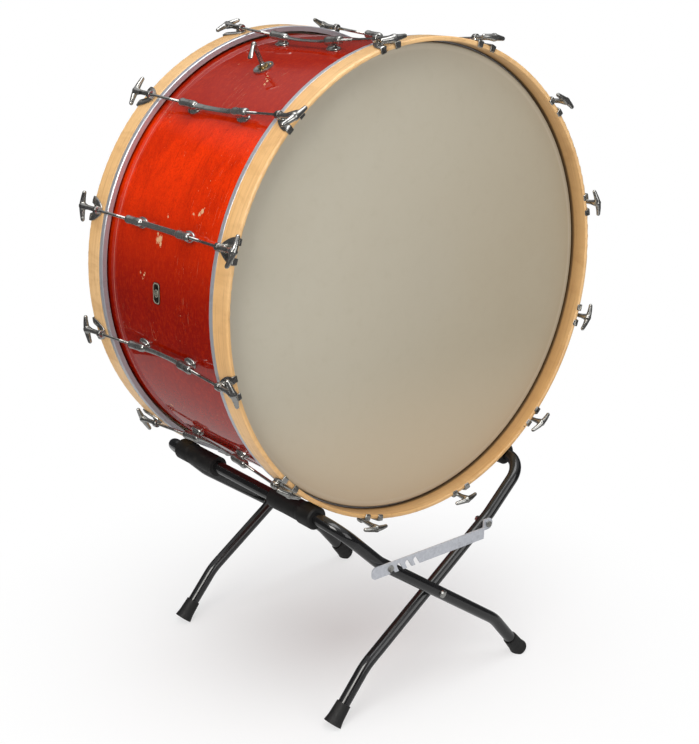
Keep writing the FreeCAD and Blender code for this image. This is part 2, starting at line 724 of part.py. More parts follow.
def make_stop_pins():
    """A headed pin through each upper leg of the outer frame. The ratchet bar hooks over the near one."""
    pins = []
    inside = OUTER_LEG_PLANE - TUBE_RADIUS - 0.8
    tube_face = OUTER_LEG_PLANE + TUBE_RADIUS
    head_start = tube_face + STRAP_CLEARANCE + STRAP_THICKNESS + SEAT_GAP + 0.1
    for end in (-1, 1):
        pin = along_y(-LATCH_X, LATCH_Z, BOLT_RADIUS, inside, head_start, end)
        head = along_y(-LATCH_X, LATCH_Z, 7.0, head_start, head_start + 2.6, end)
        pins.append(pin.fuse(head))
    return pins


def make_ratchet_bolt():
    inner_face = INNER_LEG_PLANE - TUBE_RADIUS
    strap_outer = INNER_LEG_PLANE + TUBE_RADIUS + 0.8 + STRAP_THICKNESS
    shank = along_y(LATCH_X, LATCH_Z, BOLT_RADIUS, inner_face - 6, strap_outer + SEAT_GAP, -1)
    head = along_y(
        LATCH_X, LATCH_Z, 7.0, strap_outer + SEAT_GAP, strap_outer + SEAT_GAP + 3.5, -1
    )
    return shank.fuse(head)


def make_ratchet_nut():
    inner_face = INNER_LEG_PLANE - TUBE_RADIUS
    nut = hexagon(LATCH_X, LATCH_Z, 7.0, inner_face - 5, inner_face - 0.05, -1)
    bore = along_y(LATCH_X, LATCH_Z, BOLT_RADIUS + 0.02, inner_face - 8, inner_face + 2, -1)
    return nut.cut(bore)


def make_ratchet_bar():
    """A flat strap, joggled to pass outside the outer frame, with slanted notches in its lower edge."""
    bolt_plane = INNER_LEG_PLANE + TUBE_RADIUS + 0.8
    strap_plane = OUTER_LEG_PLANE + TUBE_RADIUS + STRAP_CLEARANCE
    thick = STRAP_THICKNESS
    bend_start, bend_end = LATCH_X - 14, LATCH_X - 14 - (strap_plane - bolt_plane)
    left, right = -LATCH_X - STRAP_TIP, LATCH_X + STRAP_HALF_HEIGHT
    shift = thick * math.tan(math.radians(22.5))
    plan = [
        (right, bolt_plane),
        (bend_start, bolt_plane),
        (bend_end, strap_plane),
        (left, strap_plane),
        (left, strap_plane + thick),
        (bend_end + shift, strap_plane + thick),
        (bend_start + shift, bolt_plane + thick),
        (right, bolt_plane + thick),
    ]
    low = LATCH_Z - STRAP_HALF_HEIGHT
    corners = [Vector(x, -y, low) for x, y in plan]
    strap = Part.Face(Part.makePolygon(corners + [corners[0]])).extrude(
        Vector(0, 0, 2 * STRAP_HALF_HEIGHT)
    )
    for x, radius in ((left, 9.0), (right, STRAP_HALF_HEIGHT - 0.5)):
        ends = [
            e for e in strap.Edges if e.BoundBox.YLength > thick / 2 and e.BoundBox.XLength < 0.01
            and abs(e.BoundBox.XMin - x) < 0.01 and e.BoundBox.ZLength < 0.01
        ]
        strap = strap.makeFillet(radius, ends)
    slant = Vector(math.cos(math.radians(NOTCH_SLANT)), 0, -math.sin(math.radians(NOTCH_SLANT)))
    for index in range(NOTCHES):
        seat = Vector(-LATCH_X + index * NOTCH_PITCH, -strap_plane - 10, LATCH_Z)
        mouth = seat.add(Vector(slant).multiply(40))
        depth = Vector(0, 20, 0)
        across = Vector(slant.z, 0, -slant.x).multiply(NOTCH_RADIUS)
        wide = Vector(across).multiply(NOTCH_MOUTH_SCALE)
        slot_corners = [seat.add(across), mouth.add(wide), mouth.sub(wide), seat.sub(across)]
        slot = Part.Face(Part.makePolygon(slot_corners + [slot_corners[0]])).extrude(depth)
        round_seat = Part.makeCylinder(NOTCH_RADIUS, 20, seat, Vector(0, 1, 0))
        strap = strap.cut(slot.fuse(round_seat))
    bore = along_y(
        LATCH_X, LATCH_Z, BOLT_RADIUS + BOLT_RUNNING_GAP, bolt_plane - 5, bolt_plane + thick + 5, -1
    )
    return strap.cut(bore).removeSplitter()


# ---- write the nodes ----
def write_drum():
    save("shell", make_shell())
    save("reinforcing_rings", make_reinforcing_rings())
    for name, side_copy in (("front", lambda s: s), ("back", mirrored_y)):
        save(name + "_hoop", side_copy(make_hoop()))
        save(name + "_flesh_hoop", side_copy(make_flesh_hoop()))
        save(name + "_head", side_copy(make_head()))
    claw, lug, nut, screw = make_claw(), make_lug(), make_swivel_nut(), make_lug_screw()
    angles = [station_angle(index) for index in range(STATIONS)]
    save("front_claws", [at_station(claw, angle, -1) for angle in angles])
    save("back_claws", [at_station(claw, angle, 1) for angle in angles])
    save("lug_castings", [at_station(lug, angle, -1) for angle in angles])
    save("swivel_nuts", [at_station(nut, angle, side) for angle in angles for side in (-1, 1)])
    screw_places = [(angle, side) for angle in angles for side in (-1, 1)]
    save("lug_screws", [at_station(screw, angle, side, LUG_FOOT_PLACE) for angle, side in screw_places])
    for name, side in (("front", -1), ("back", 1)):
        for index, angle in enumerate(angles):
            rod = at_station(make_rod(handle_tilt(index)), angle, side)
            save("tension_rod_%s_%02d" % (name, index + 1), rod)


def write_fittings():
    save("badge_plate", at_station(make_badge(), BADGE_ANGLE, -1, BADGE_PLACE))
    save("badge_pins", make_badge_pins())
    tone = {
        "tone_plate": make_tone_plate(),
        "tone_bush": make_tone_bush(),
        "tone_nut": make_tone_nut(),
        "tone_shaft": make_tone_shaft(),
        "tone_lever": make_tone_lever(),
        "tone_arm": make_tone_arm(),
        "tone_pad_cup": make_tone_cup(),
        "tone_pad": make_tone_pad(),
    }
    for name, shape in tone.items():
        save(name, at_station(shape, TONE_ANGLE, -1, TONE_PLACE))


def write_stand():
    outer = make_frame(-1, OUTER_LEG_PLANE)
    for cutter in across_hole(0, PIVOT_Z, BOLT_RADIUS + 0.02, OUTER_LEG_PLANE):
        outer = outer.cut(cutter)
    for cutter in across_hole(-LATCH_X, LATCH_Z, BOLT_RADIUS + 0.02, OUTER_LEG_PLANE):
        outer = outer.cut(cutter)
    inner = make_frame(1, INNER_LEG_PLANE)
    for cutter in across_hole(0, PIVOT_Z, BOLT_RADIUS + BOLT_RUNNING_GAP, INNER_LEG_PLANE):
        inner = inner.cut(cutter)
    inner = inner.cut(across_hole(LATCH_X, LATCH_Z, BOLT_RADIUS + 0.02, INNER_LEG_PLANE)[0])
    save("outer_frame", outer)
    save("inner_frame", inner)
    save("outer_sleeves", make_sleeves(-1, OUTER_SLEEVE_END))
    save("inner_sleeves", make_sleeves(1, INNER_SLEEVE_END))
    save("outer_feet", make_feet(-1, OUTER_LEG_PLANE))
    save("inner_feet", make_feet(1, INNER_LEG_PLANE))
    save("pivot_bolts", make_pivot_bolts())
    save("pivot_nuts", make_pivot_nuts())
    save("pivot_washers", make_pivot_washers())
    save("stop_pins", make_stop_pins())
    save("ratchet_bar", make_ratchet_bar())
    save("ratchet_bolt", make_ratchet_bolt())
    save("ratchet_nut", make_ratchet_nut())


write_drum()
write_fittings()
write_stand()
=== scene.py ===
import json
import math
import bmesh
import bpy
from mathutils import Matrix, Vector


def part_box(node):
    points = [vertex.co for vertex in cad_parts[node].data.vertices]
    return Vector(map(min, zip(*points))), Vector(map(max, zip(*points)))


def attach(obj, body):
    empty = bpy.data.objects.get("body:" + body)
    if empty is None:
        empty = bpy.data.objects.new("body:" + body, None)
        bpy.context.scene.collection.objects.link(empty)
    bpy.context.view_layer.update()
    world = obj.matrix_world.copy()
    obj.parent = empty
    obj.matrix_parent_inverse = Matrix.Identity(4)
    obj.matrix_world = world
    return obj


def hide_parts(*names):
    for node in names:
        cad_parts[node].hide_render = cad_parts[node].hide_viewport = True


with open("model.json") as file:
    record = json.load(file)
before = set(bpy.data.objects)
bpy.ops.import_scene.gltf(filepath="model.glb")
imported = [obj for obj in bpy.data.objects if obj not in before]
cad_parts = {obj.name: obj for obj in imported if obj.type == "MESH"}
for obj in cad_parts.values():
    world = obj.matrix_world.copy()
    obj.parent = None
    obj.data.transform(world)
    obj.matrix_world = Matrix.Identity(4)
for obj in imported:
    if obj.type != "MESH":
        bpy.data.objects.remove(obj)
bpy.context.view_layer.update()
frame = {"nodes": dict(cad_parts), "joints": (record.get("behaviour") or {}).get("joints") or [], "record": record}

nodes = frame["nodes"]

MM = 0.001
AXIS = 0.861          # height of the drum's axis above the floor, m
ROD_CIRCLE = 0.482    # radius of the circle of claw ears, where the rods start, m
SHELL = 0.4556        # outside radius of the shell, m
HOOP = 0.472          # outside radius of the counter hoops, m
HOOP_INSIDE = 0.463   # inside radius of the counter hoops, m
EDGE_ANGLE = 50       # edges sharper than this stay sharp on cast and plated pieces, degrees


# ---------------------------------------------------------------- node helpers
class Nodes:
    """A material and short ways to add its nodes."""

    def __init__(self, name):
        self.material = bpy.data.materials.new(name)
        self.material.use_nodes = True
        self.tree = self.material.node_tree
        self.shader = self.tree.nodes["Principled BSDF"]

    def add(self, kind, **settings):
        node = self.tree.nodes.new(kind)
        for key, value in settings.items():
            setattr(node, key, value)
        return node

    def link(self, source, target):
        self.tree.links.new(source, target)

    def math(self, operation, a, b=None):
        node = self.add("ShaderNodeMath", operation=operation)
        for index, value in enumerate((a, b)):
            if value is None:
                continue
            if isinstance(value, (int, float)):
                node.inputs[index].default_value = value
            else:
                self.link(value, node.inputs[index])
        return node.outputs[0]

    def noise(self, vector, scale, detail=4.0, rough=0.55, distortion=0.0):
        node = self.add("ShaderNodeTexNoise")
        node.inputs["Scale"].default_value = scale
        node.inputs["Detail"].default_value = detail
        node.inputs["Roughness"].default_value = rough
        node.inputs["Distortion"].default_value = distortion
        self.link(vector, node.inputs["Vector"])
        return node.outputs["Fac"]

    def ramp(self, value, low, high, a=0.0, b=1.0):
        node = self.add("ShaderNodeMapRange", interpolation_type="SMOOTHSTEP")
        self.link(value, node.inputs["Value"])
        for name, number in (("From Min", low), ("From Max", high), ("To Min", a), ("To Max", b)):
            node.inputs[name].default_value = number
        return node.outputs["Result"]

    def mix(self, factor, a, b, blend="MIX"):
        node = self.add("ShaderNodeMix", data_type="RGBA", blend_type=blend)
        for index, value in ((0, factor), (6, a), (7, b)):  # the sockets of an RGBA mix
            if isinstance(value, (int, float)):
                node.inputs[index].default_value = value
            elif isinstance(value, tuple):
                node.inputs[index].default_value = (*value, 1.0)
            else:
                self.link(value, node.inputs[index])
        return node.outputs[2]

    def set(self, name, value):
        if isinstance(value, tuple):
            self.shader.inputs[name].default_value = (*value, 1.0)
        elif isinstance(value, (int, float)):
            self.shader.inputs[name].default_value = value
        else:
            self.link(value, self.shader.inputs[name])

    def bump(self, height, strength, distance):
        node = self.add("ShaderNodeBump")
        node.inputs["Strength"].default_value = strength
        node.inputs["Distance"].default_value = distance
        self.link(height, node.inputs["Height"])
        self.link(node.outputs["Normal"], self.shader.inputs["Normal"])
        return node

    def place(self):
        """Coordinates fixed to the object, in metres."""
        return self.add("ShaderNodeTexCoord").outputs["Object"]

    def round_place(self):
        """(distance round the drum from its top, place along its axis, radius), in metres."""
        split = self.add("ShaderNodeSeparateXYZ")
        self.link(self.place(), split.inputs[0])
        up = self.math("SUBTRACT", split.outputs[2], AXIS)
        turn = self.math("ARCTAN2", split.outputs[0], up)
        squares = self.math(
            "ADD", self.math("MULTIPLY", split.outputs[0], split.outputs[0]), self.math("MULTIPLY", up, up)
        )
        join = self.add("ShaderNodeCombineXYZ")
        self.link(self.math("MULTIPLY", turn, SHELL), join.inputs[0])
        self.link(split.outputs[1], join.inputs[1])
        self.link(self.math("SQRT", squares), join.inputs[2])
        return join.outputs[0], turn, split.outputs[1]

    def stretched(self, vector, scale):
        node = self.add("ShaderNodeMapping")
        self.link(vector, node.inputs["Vector"])
        node.inputs["Scale"].default_value = scale
        return node.outputs["Vector"]

    def near(self, vector, point, size):
        """1 at a point, falling to 0 at size away."""
        node = self.add("ShaderNodeVectorMath", operation="DISTANCE")
        self.link(vector, node.inputs[0])
        node.inputs[1].default_value = point
        return self.ramp(node.outputs["Value"], size, size * 0.55)


def round_point(angle, along):
    """A place on the shell as round_place gives it, from an angle in degrees from +X."""
    turn = math.radians(90.0 - angle)
    if turn < -math.pi:
        turn += 2 * math.pi
    return turn * SHELL, along


# ---------------------------------------------------------------- materials
CHIPS = (  # angle round the shell in degrees, place along it and size in mm
    (166.3, 12.0, 8.0), (166.8, 20.0, 6.5), (167.5, 9.0, 4.5), (165.4, 22.0, 3.5),
    (157.5, -98.0, 5.0), (158.4, -92.0, 3.5), (158.8, -73.0, 3.2), (160.6, 3.0, 3.2),
    (175.6, 68.0, 3.2), (175.8, 54.0, 3.8), (176.6, 60.0, 1.8),
    (119.8, -33.0, 3.0), (121.5, -48.0, 3.6), (122.8, -50.0, 3.0), (121.0, -38.0, 2.0),
    (214.0, 96.0, 3.0), (62.0, -40.0, 5.0), (20.0, 80.0, 4.0), (331.0, -60.0, 5.0),
)
CHIP_WOBBLE = 0.02        # how far noise pushes a chip's edge about, m
SHELL_EDGE_LINE = 0.168   # place along the shell of the scored line by each end, m
NAIL_HOLES = (  # x, y, z in m, size in mm
    (0.3480, -0.243, 1.1750, 2.4), (0.3000, -0.243, 0.5060, 2.4),
    (-0.1180, -0.243, 1.3110, 1.6), (-0.2300, 0.243, 1.2640, 2.2), (0.1500, 0.243, 0.4190, 2.2),
)
HEAD_CREASE = 0.4495      # radius of the crease round each head, where a pale ring is painted as a highlight, m


def shell_material():
    """Red-orange stain with fibre, pores and chips under a gloss coat, and light and shade painted round the
    shell.
    """
    m = Nodes("stained_mahogany")
    place, turn, along = m.round_place()
    fibre = m.noise(m.stretched(place, (22.0, 300.0, 1.0)), 1.0, 5.0, 0.62)
    pores = m.noise(m.stretched(place, (130.0, 900.0, 1.0)), 1.0, 2.0, 0.5)
    figure = m.noise(m.stretched(place, (9.0, 16.0, 1.0)), 1.0, 4.0, 0.6, 0.6)
    mottle = m.noise(m.stretched(place, (120.0, 170.0, 1.0)), 1.0, 6.0, 0.7)
    # Painted light and shade, part the stain's own tone: brightest in a band on the upper -X side, darker over the
    # crown and down the +X side, darkest low on the -X side.
    painted_shade_low_left, painted_light_band = (0.215, 0.0038, 0.0008), (0.78, 0.0330, 0.0005)
    crown = (0.34, 0.0130, 0.0030)
    base = m.mix(m.ramp(turn, -1.66, -1.06), painted_shade_low_left, painted_light_band)
    base = m.mix(m.ramp(turn, -0.86, -0.74), base, crown)
    base = m.mix(m.ramp(figure, 0.38, 0.75, 0.0, 0.50), base, (0.30, 0.0060, 0.0006))
    base = m.mix(m.ramp(mottle, 0.42, 0.70, 0.0, 0.16), base, (0.86, 0.0700, 0.0010))
    speckle = m.noise(m.stretched(place, (330.0, 430.0, 1.0)), 1.0, 3.0, 0.6)
    base = m.mix(m.ramp(speckle, 0.46, 0.66, 0.0, 0.34), base, (0.26, 0.0060, 0.0006))
    base = m.mix(m.ramp(fibre, 0.54, 0.76, 0.0, 0.36), base, (0.20, 0.0030, 0.0006))
    base = m.mix(m.ramp(pores, 0.62, 0.76, 0.0, 0.45), base, (0.10, 0.0015, 0.0004))
    rough_edge = m.noise(m.stretched(place, (260.0, 260.0, 1.0)), 1.0, 4.0, 0.6)
    shift = m.add("ShaderNodeVectorMath", operation="SCALE")
    wobble = m.add("ShaderNodeCombineXYZ")
    m.link(m.math("SUBTRACT", rough_edge, 0.5), wobble.inputs[0])
    m.link(m.math("SUBTRACT", mottle, 0.5), wobble.inputs[1])
    m.link(wobble.outputs[0], shift.inputs[0])
    shift.inputs["Scale"].default_value = CHIP_WOBBLE
    moved = m.add("ShaderNodeVectorMath", operation="ADD")
    flat = m.add("ShaderNodeVectorMath", operation="MULTIPLY")
    m.link(place, flat.inputs[0])
    flat.inputs[1].default_value = (1.0, 1.0, 0.0)
    m.link(flat.outputs[0], moved.inputs[0])
    m.link(shift.outputs[0], moved.inputs[1])
    damage = None
    for angle, y, size in CHIPS:
        one = m.near(moved.outputs[0], (*round_point(angle, y * MM), 0.0), size * MM)
        damage = one if damage is None else m.math("MAXIMUM", damage, one)
    specks = m.noise(m.stretched(place, (150.0, 240.0, 1.0)), 1.0, 3.0, 0.5)
    cluster = m.noise(m.stretched(place, (9.0, 9.0, 1.0)), 1.0, 2.0, 0.5)
    fine = m.math("MULTIPLY", m.ramp(specks, 0.735, 0.765), m.ramp(cluster, 0.5, 0.62))
    scratch = m.noise(m.stretched(place, (30.0, 1300.0, 1.0)), 1.0, 1.0, 0.4)
    hair = m.math("MULTIPLY", m.ramp(scratch, 0.73, 0.76), m.ramp(cluster, 0.52, 0.6, 0.0, 0.45))
    worn = m.math("MAXIMUM", damage, m.math("MAXIMUM", fine, hair))
    base = m.mix(worn, base, (0.66, 0.40, 0.22))
    from_line = m.math("ABSOLUTE", m.math("SUBTRACT", m.math("ABSOLUTE", along), SHELL_EDGE_LINE))
    line = m.ramp(from_line, 0.0011, 0.0004)
    base = m.mix(m.math("MULTIPLY", line, 0.45), base, (0.75, 0.30, 0.20))
    m.set("Base Color", base)
    m.set("Roughness", m.ramp(fibre, 0.3, 0.7, 0.42, 0.55))
    m.set("Coat Weight", m.ramp(damage, 0.0, 1.0, 1.0, 0.1))
    m.set("Coat Roughness", 0.04)
    m.set("Coat IOR", 1.42)
    m.set("Specular IOR Level", 0.0)
    ripple = m.noise(m.stretched(place, (28.0, 28.0, 1.0)), 1.0, 2.0, 0.5)
    depth = m.math("ADD", m.math("MULTIPLY", ripple, 0.5), m.math("MULTIPLY", pores, 0.04))
    depth = m.math("SUBTRACT", depth, m.math("MULTIPLY", worn, 0.15))
    bump = m.bump(depth, 0.22, 0.0006)
    m.link(bump.outputs["Normal"], m.shader.inputs["Coat Normal"])
    return m.material


def maple_material():
    """Natural maple: grain round the hoop, nail holes, and painted shade on its inside, darkest by the head."""
    m = Nodes("natural_maple")
    place, _, along = m.round_place()
    fibre = m.noise(m.stretched(place, (7.0, 260.0, 260.0)), 1.0, 5.0, 0.62)
    fleck = m.noise(m.stretched(place, (55.0, 900.0, 900.0)), 1.0, 3.0, 0.5)
    figure = m.noise(m.stretched(place, (32.0, 11.0, 11.0)), 1.0, 3.0, 0.6, 0.8)
    tone = m.noise(m.stretched(place, (2.6, 9.0, 9.0)), 1.0, 3.0, 0.5)
    base = m.mix(m.ramp(tone, 0.3, 0.7), (0.73, 0.425, 0.165), (0.84, 0.535, 0.245))
    base = m.mix(m.ramp(figure, 0.45, 0.75, 0.0, 0.4), base, (0.52, 0.275, 0.10))
    base = m.mix(m.ramp(fibre, 0.5, 0.75, 0.0, 0.5), base, (0.42, 0.21, 0.075))
    base = m.mix(m.ramp(fleck, 0.6, 0.75, 0.0, 0.45), base, (0.33, 0.16, 0.06))
    stain = m.noise(place, 38.0, 5.0, 0.7)
    base = m.mix(m.ramp(stain, 0.66, 0.76, 0.0, 0.5), base, (0.30, 0.15, 0.06))
    object_place = m.place()
    for x, y, z, size in NAIL_HOLES:
        hole = m.near(object_place, (x, y, z), size * MM)
        base = m.mix(m.math("MULTIPLY", hole, 0.92), base, (0.05, 0.022, 0.010))
    split = m.add("ShaderNodeSeparateXYZ")
    m.link(place, split.inputs[0])
    # Painted shade on the hoop's inside face, deeper towards the head, and a painted dark shadow line where the
    # hoop meets the head.
    inside = m.ramp(split.outputs[2], HOOP_INSIDE + 0.0012, HOOP_INSIDE + 0.0004)
    inside_recess_shade = m.ramp(m.math("ABSOLUTE", along), 0.2440, 0.2080, 0.30, 0.72)
    base = m.mix(m.math("MULTIPLY", inside, inside_recess_shade), base, (0.33, 0.175, 0.060))
    head_crevice_shade = m.ramp(m.math("ABSOLUTE", along), 0.2125, 0.2070)
    base = m.mix(m.math("MULTIPLY", m.math("MULTIPLY", inside, head_crevice_shade), 0.82), base, (0.045, 0.026, 0.012))
    m.set("Base Color", base)
    m.set("Roughness", m.ramp(fibre, 0.3, 0.7, 0.34, 0.5))
    m.set("Coat Weight", 0.35)
    m.set("Coat Roughness", 0.18)
    depth = m.math("ADD", m.math("MULTIPLY", fibre, 0.6), m.math("MULTIPLY", fleck, 0.4))
    m.bump(depth, 0.25, 0.0003)
    return m.material


def bare_wood_material():
    m = Nodes("bare_ring_wood")
    place, _, _ = m.round_place()
    fibre = m.noise(m.stretched(place, (8.0, 300.0, 300.0)), 1.0, 5.0, 0.6)
    base = m.mix(m.ramp(fibre, 0.35, 0.7), (0.55, 0.36, 0.19), (0.40, 0.23, 0.10))
    m.set("Base Color", base)
    m.set("Roughness", 0.7)
    m.bump(fibre, 0.3, 0.0003)
    return m.material


def head_material():
    """Coated film with painted light and shade: light at its upper left, dark to the lower right, warm low down, a
    highlight ring near the edge and shade by the hoop.
    """
    m = Nodes("coated_head_film")
    place = m.place()
    grain = m.noise(place, 900.0, 3.0, 0.6)
    cloud = m.noise(place, 5.5, 5.0, 0.6)
    fine_cloud = m.noise(place, 34.0, 4.0, 0.6)
    split = m.add("ShaderNodeSeparateXYZ")
    m.link(place, split.inputs[0])
    up = m.math("SUBTRACT", split.outputs[2], AXIS)
    squares = m.math(
        "ADD", m.math("MULTIPLY", split.outputs[0], split.outputs[0]), m.math("MULTIPLY", up, up)
    )
    radius = m.math("SQRT", squares)
    # Painted light and shade: lighter and cooler at the upper left, darker and warmer towards the lower right.
    lower_right = m.math("SUBTRACT", split.outputs[0], m.math("MULTIPLY", up, 0.55))
    base = m.mix(m.ramp(lower_right, -0.45, 0.45), (0.475, 0.442, 0.357), (0.395, 0.337, 0.240))
    base = m.mix(m.ramp(cloud, 0.35, 0.7, 0.0, 0.25), base, (0.43, 0.38, 0.29))
    base = m.mix(m.ramp(fine_cloud, 0.5, 0.8, 0.0, 0.18), base, (0.37, 0.32, 0.24))
    # Painted light: lighter and warmer low down on the head.
    base = m.mix(m.ramp(up, -0.12, -0.43, 0.0, 0.55), base, (0.60, 0.47, 0.32))
    handled = m.math("MULTIPLY", m.ramp(radius, 0.20, 0.02, 0.0, 0.35), m.ramp(cloud, 0.3, 0.7, 0.4, 1.0))
    base = m.mix(handled, base, (0.42, 0.385, 0.31))
    # Painted highlight: a pale ring round the head near its edge.
    crease_highlight = m.ramp(m.math("ABSOLUTE", m.math("SUBTRACT", radius, HEAD_CREASE)), 0.0042, 0.0012)
    base = m.mix(m.math("MULTIPLY", crease_highlight, 0.20), base, (0.60, 0.55, 0.46))
    # Painted shade: a dark ring at the head's edge, in the gap by the hoop.
    hoop_edge_shade = m.ramp(radius, 0.4572, 0.4596)
    base = m.mix(m.math("MULTIPLY", hoop_edge_shade, 0.80), base, (0.075, 0.050, 0.028))
    m.set("Base Color", base)
    m.set("Roughness", m.ramp(fine_cloud, 0.3, 0.7, 0.62, 0.74))
    m.set("Specular IOR Level", 0.35)
    m.bump(m.math("ADD", m.math("MULTIPLY", grain, 0.5), m.math("MULTIPLY", cloud, 1.5)), 0.2, 0.0004)
    return m.material


def metal_material(
    name, bright, dull, roughness, worn_roughness, amount, scale, brushed=None, metallic=1.0
):
    """Metal that is dull in clouds, more so with amount, pitted, and brushed where asked."""
    m = Nodes(name)
    place = m.place()
    cloud = m.noise(place, scale, 6.0, 0.65)
    pits = m.noise(place, scale * 14.0, 3.0, 0.6)
    dulled = m.ramp(cloud, 0.62 - amount * 0.3, 0.78 - amount * 0.2)
    base = m.mix(dulled, bright, dull)
    base = m.mix(m.ramp(pits, 0.66, 0.74, 0.0, 0.6), base, tuple(0.35 * v for v in dull))
    m.set("Base Color", base)
    m.set("Metallic", metallic)
    rough = m.ramp(cloud, 0.40, 0.75, roughness, worn_roughness)
    if brushed:
        lines = m.noise(m.stretched(place, brushed), 1.0, 3.0, 0.6)
        rough = m.math("ADD", rough, m.math("MULTIPLY", m.math("SUBTRACT", lines, 0.5), 0.22))
        m.bump(m.math("ADD", lines, m.math("MULTIPLY", pits, 0.3)), 0.25, 0.0001)
    else:
        m.bump(m.math("ADD", m.math("MULTIPLY", cloud, 0.8), m.math("MULTIPLY", pits, 0.15)), 0.15, 0.0002)
    m.set("Roughness", rough)
    return m.material


def galvanised_material():
    m = Nodes("galvanised_strap")
    place = m.place()
    cells = m.add("ShaderNodeTexVoronoi", feature="F1")
    cells.inputs["Scale"].default_value = 210.0
    m.link(place, cells.inputs["Vector"])
    tone = m.add("ShaderNodeRGBToBW")
    m.link(cells.outputs["Color"], tone.inputs[0])
    cloud = m.noise(place, 45.0, 5.0, 0.6)
    lines = m.noise(m.stretched(place, (35.0, 900.0, 900.0)), 1.0, 3.0, 0.6)
    base = m.mix(m.ramp(tone.outputs[0], 0.2, 0.8), (0.60, 0.62, 0.67), (0.66, 0.68, 0.73))
    base = m.mix(m.ramp(cloud, 0.55, 0.75, 0.0, 0.5), base, (0.36, 0.37, 0.39))
    base = m.mix(m.ramp(lines, 0.62, 0.72, 0.0, 0.5), base, (0.27, 0.27, 0.28))
    m.set("Base Color", base)
    m.set("Metallic", 0.45)
    m.set("Roughness", m.ramp(cloud, 0.3, 0.7, 0.38, 0.55))
    m.bump(lines, 0.15, 0.0001)
    return m.material


def black_paint_material():
    m = Nodes("gloss_black_enamel")
    place = m.place()
    peel = m.noise(place, 320.0, 2.0, 0.5)
    cloud = m.noise(place, 16.0, 5.0, 0.65)
    scuff = m.noise(m.stretched(place, (40.0, 40.0, 260.0)), 1.0, 3.0, 0.6)
    worn = m.math("MULTIPLY", m.ramp(scuff, 0.68, 0.74), m.ramp(cloud, 0.5, 0.62))
    base = m.mix(m.ramp(cloud, 0.3, 0.7), (0.0065, 0.0066, 0.0070), (0.011, 0.011, 0.0115))
    base = m.mix(m.math("MULTIPLY", worn, 0.7), base, (0.10, 0.10, 0.10))
    m.set("Base Color", base)
    m.set("Roughness", m.ramp(cloud, 0.35, 0.7, 0.16, 0.27))
    m.set("Coat Weight", 0.6)
    m.set("Coat Roughness", 0.08)
    m.bump(peel, 0.10, 0.0002)
    return m.material


def rubber_material():
    m = Nodes("matte_black_rubber")
    place = m.place()
    grain = m.noise(place, 1400.0, 3.0, 0.6)
    dust = m.noise(place, 42.0, 5.0, 0.7)
    base = m.mix(m.ramp(dust, 0.5, 0.78, 0.0, 0.7), (0.0085, 0.0085, 0.0085), (0.033, 0.031, 0.029))
    m.set("Base Color", base)
    m.set("Roughness", m.ramp(dust, 0.3, 0.7, 0.46, 0.68))
    m.set("Specular IOR Level", 0.45)
    m.bump(grain, 0.25, 0.0002)
    return m.material


def felt_material():
    m = Nodes("pressed_wool_felt")
    place = m.place()
    fuzz = m.noise(place, 900.0, 6.0, 0.75, 1.2)
    cloud = m.noise(place, 90.0, 4.0, 0.6)
    base = m.mix(m.ramp(fuzz, 0.3, 0.7), (0.52, 0.49, 0.42), (0.76, 0.73, 0.66))
    base = m.mix(m.ramp(cloud, 0.5, 0.75, 0.0, 0.3), base, (0.45, 0.40, 0.33))
    m.set("Base Color", base)
    m.set("Roughness", 0.95)
    m.set("Sheen Weight", 0.5)
    m.set("Sheen Roughness", 0.5)
    m.bump(fuzz, 0.7, 0.0008)
    return m.material


MATERIALS = {
    "shell_wood": shell_material(),
    "hoop_maple": maple_material(),
    "ring_wood": bare_wood_material(),
    "head_film": head_material(),
    "flesh_hoop_metal": metal_material(
        "satin_flesh_hoop", (0.57, 0.59, 0.63), (0.43, 0.44, 0.47), 0.32, 0.44, 0.3, 30.0,
        brushed=(900.0, 60.0, 900.0), metallic=0.60,
    ),
    "plated_steel": metal_material(
        "aged_nickel", (0.52, 0.515, 0.49), (0.16, 0.155, 0.14), 0.13, 0.32, 0.5, 55.0, metallic=0.94
    ),
    "plated_casting": metal_material(
        "plated_casting", (0.46, 0.46, 0.44), (0.17, 0.17, 0.16), 0.16, 0.34, 0.5, 48.0, metallic=0.88
    ),
    "badge_metal": metal_material(
        "dark_bronze_badge", (0.20, 0.18, 0.145), (0.045, 0.040, 0.032), 0.30, 0.5, 0.8, 130.0
    ),
    "tone_brass": metal_material(
        "dull_brass", (0.60, 0.42, 0.18), (0.28, 0.18, 0.08), 0.22, 0.42, 0.5, 80.0
    ),
    "bare_steel": metal_material(
        "zinc_steel", (0.52, 0.52, 0.52), (0.34, 0.34, 0.33), 0.26, 0.42, 0.4, 60.0,
        brushed=(30.0, 700.0, 700.0),
    ),
    "felt": felt_material(),
    "black_paint": black_paint_material(),
    "black_rubber": rubber_material(),
    "galvanised_steel": galvanised_material(),
}
slot_of = {s["node"]: s["material_slot"] for s in frame["record"]["subparts"]}


def paint(obj, slot):
    obj.data.materials.clear()
    obj.data.materials.append(MATERIALS[slot])


for name, obj in nodes.items():
    paint(obj, slot_of[name])


# ---------------------------------------------------------------- mesh helpers
def new_object(name, mesh):
    obj = bpy.data.objects.new(name, mesh)
    bpy.context.scene.collection.objects.link(obj)
    return obj


def circle(count):
    """The angles of count points evenly round a circle."""
    return [2 * math.pi * i / count for i in range(count)]


def from_rings(bm, rings):
    """Joins rings of points, each a closed loop of the same length, into a skin with capped ends."""
    made = [[bm.verts.new(p) for p in ring] for ring in rings]
    count = len(made[0])
    for a, b in zip(made, made[1:]):
        for i in range(count):
            bm.faces.new((a[i], a[(i + 1) % count], b[(i + 1) % count], b[i]))
    bm.faces.new(list(reversed(made[0])))
    bm.faces.new(made[-1])


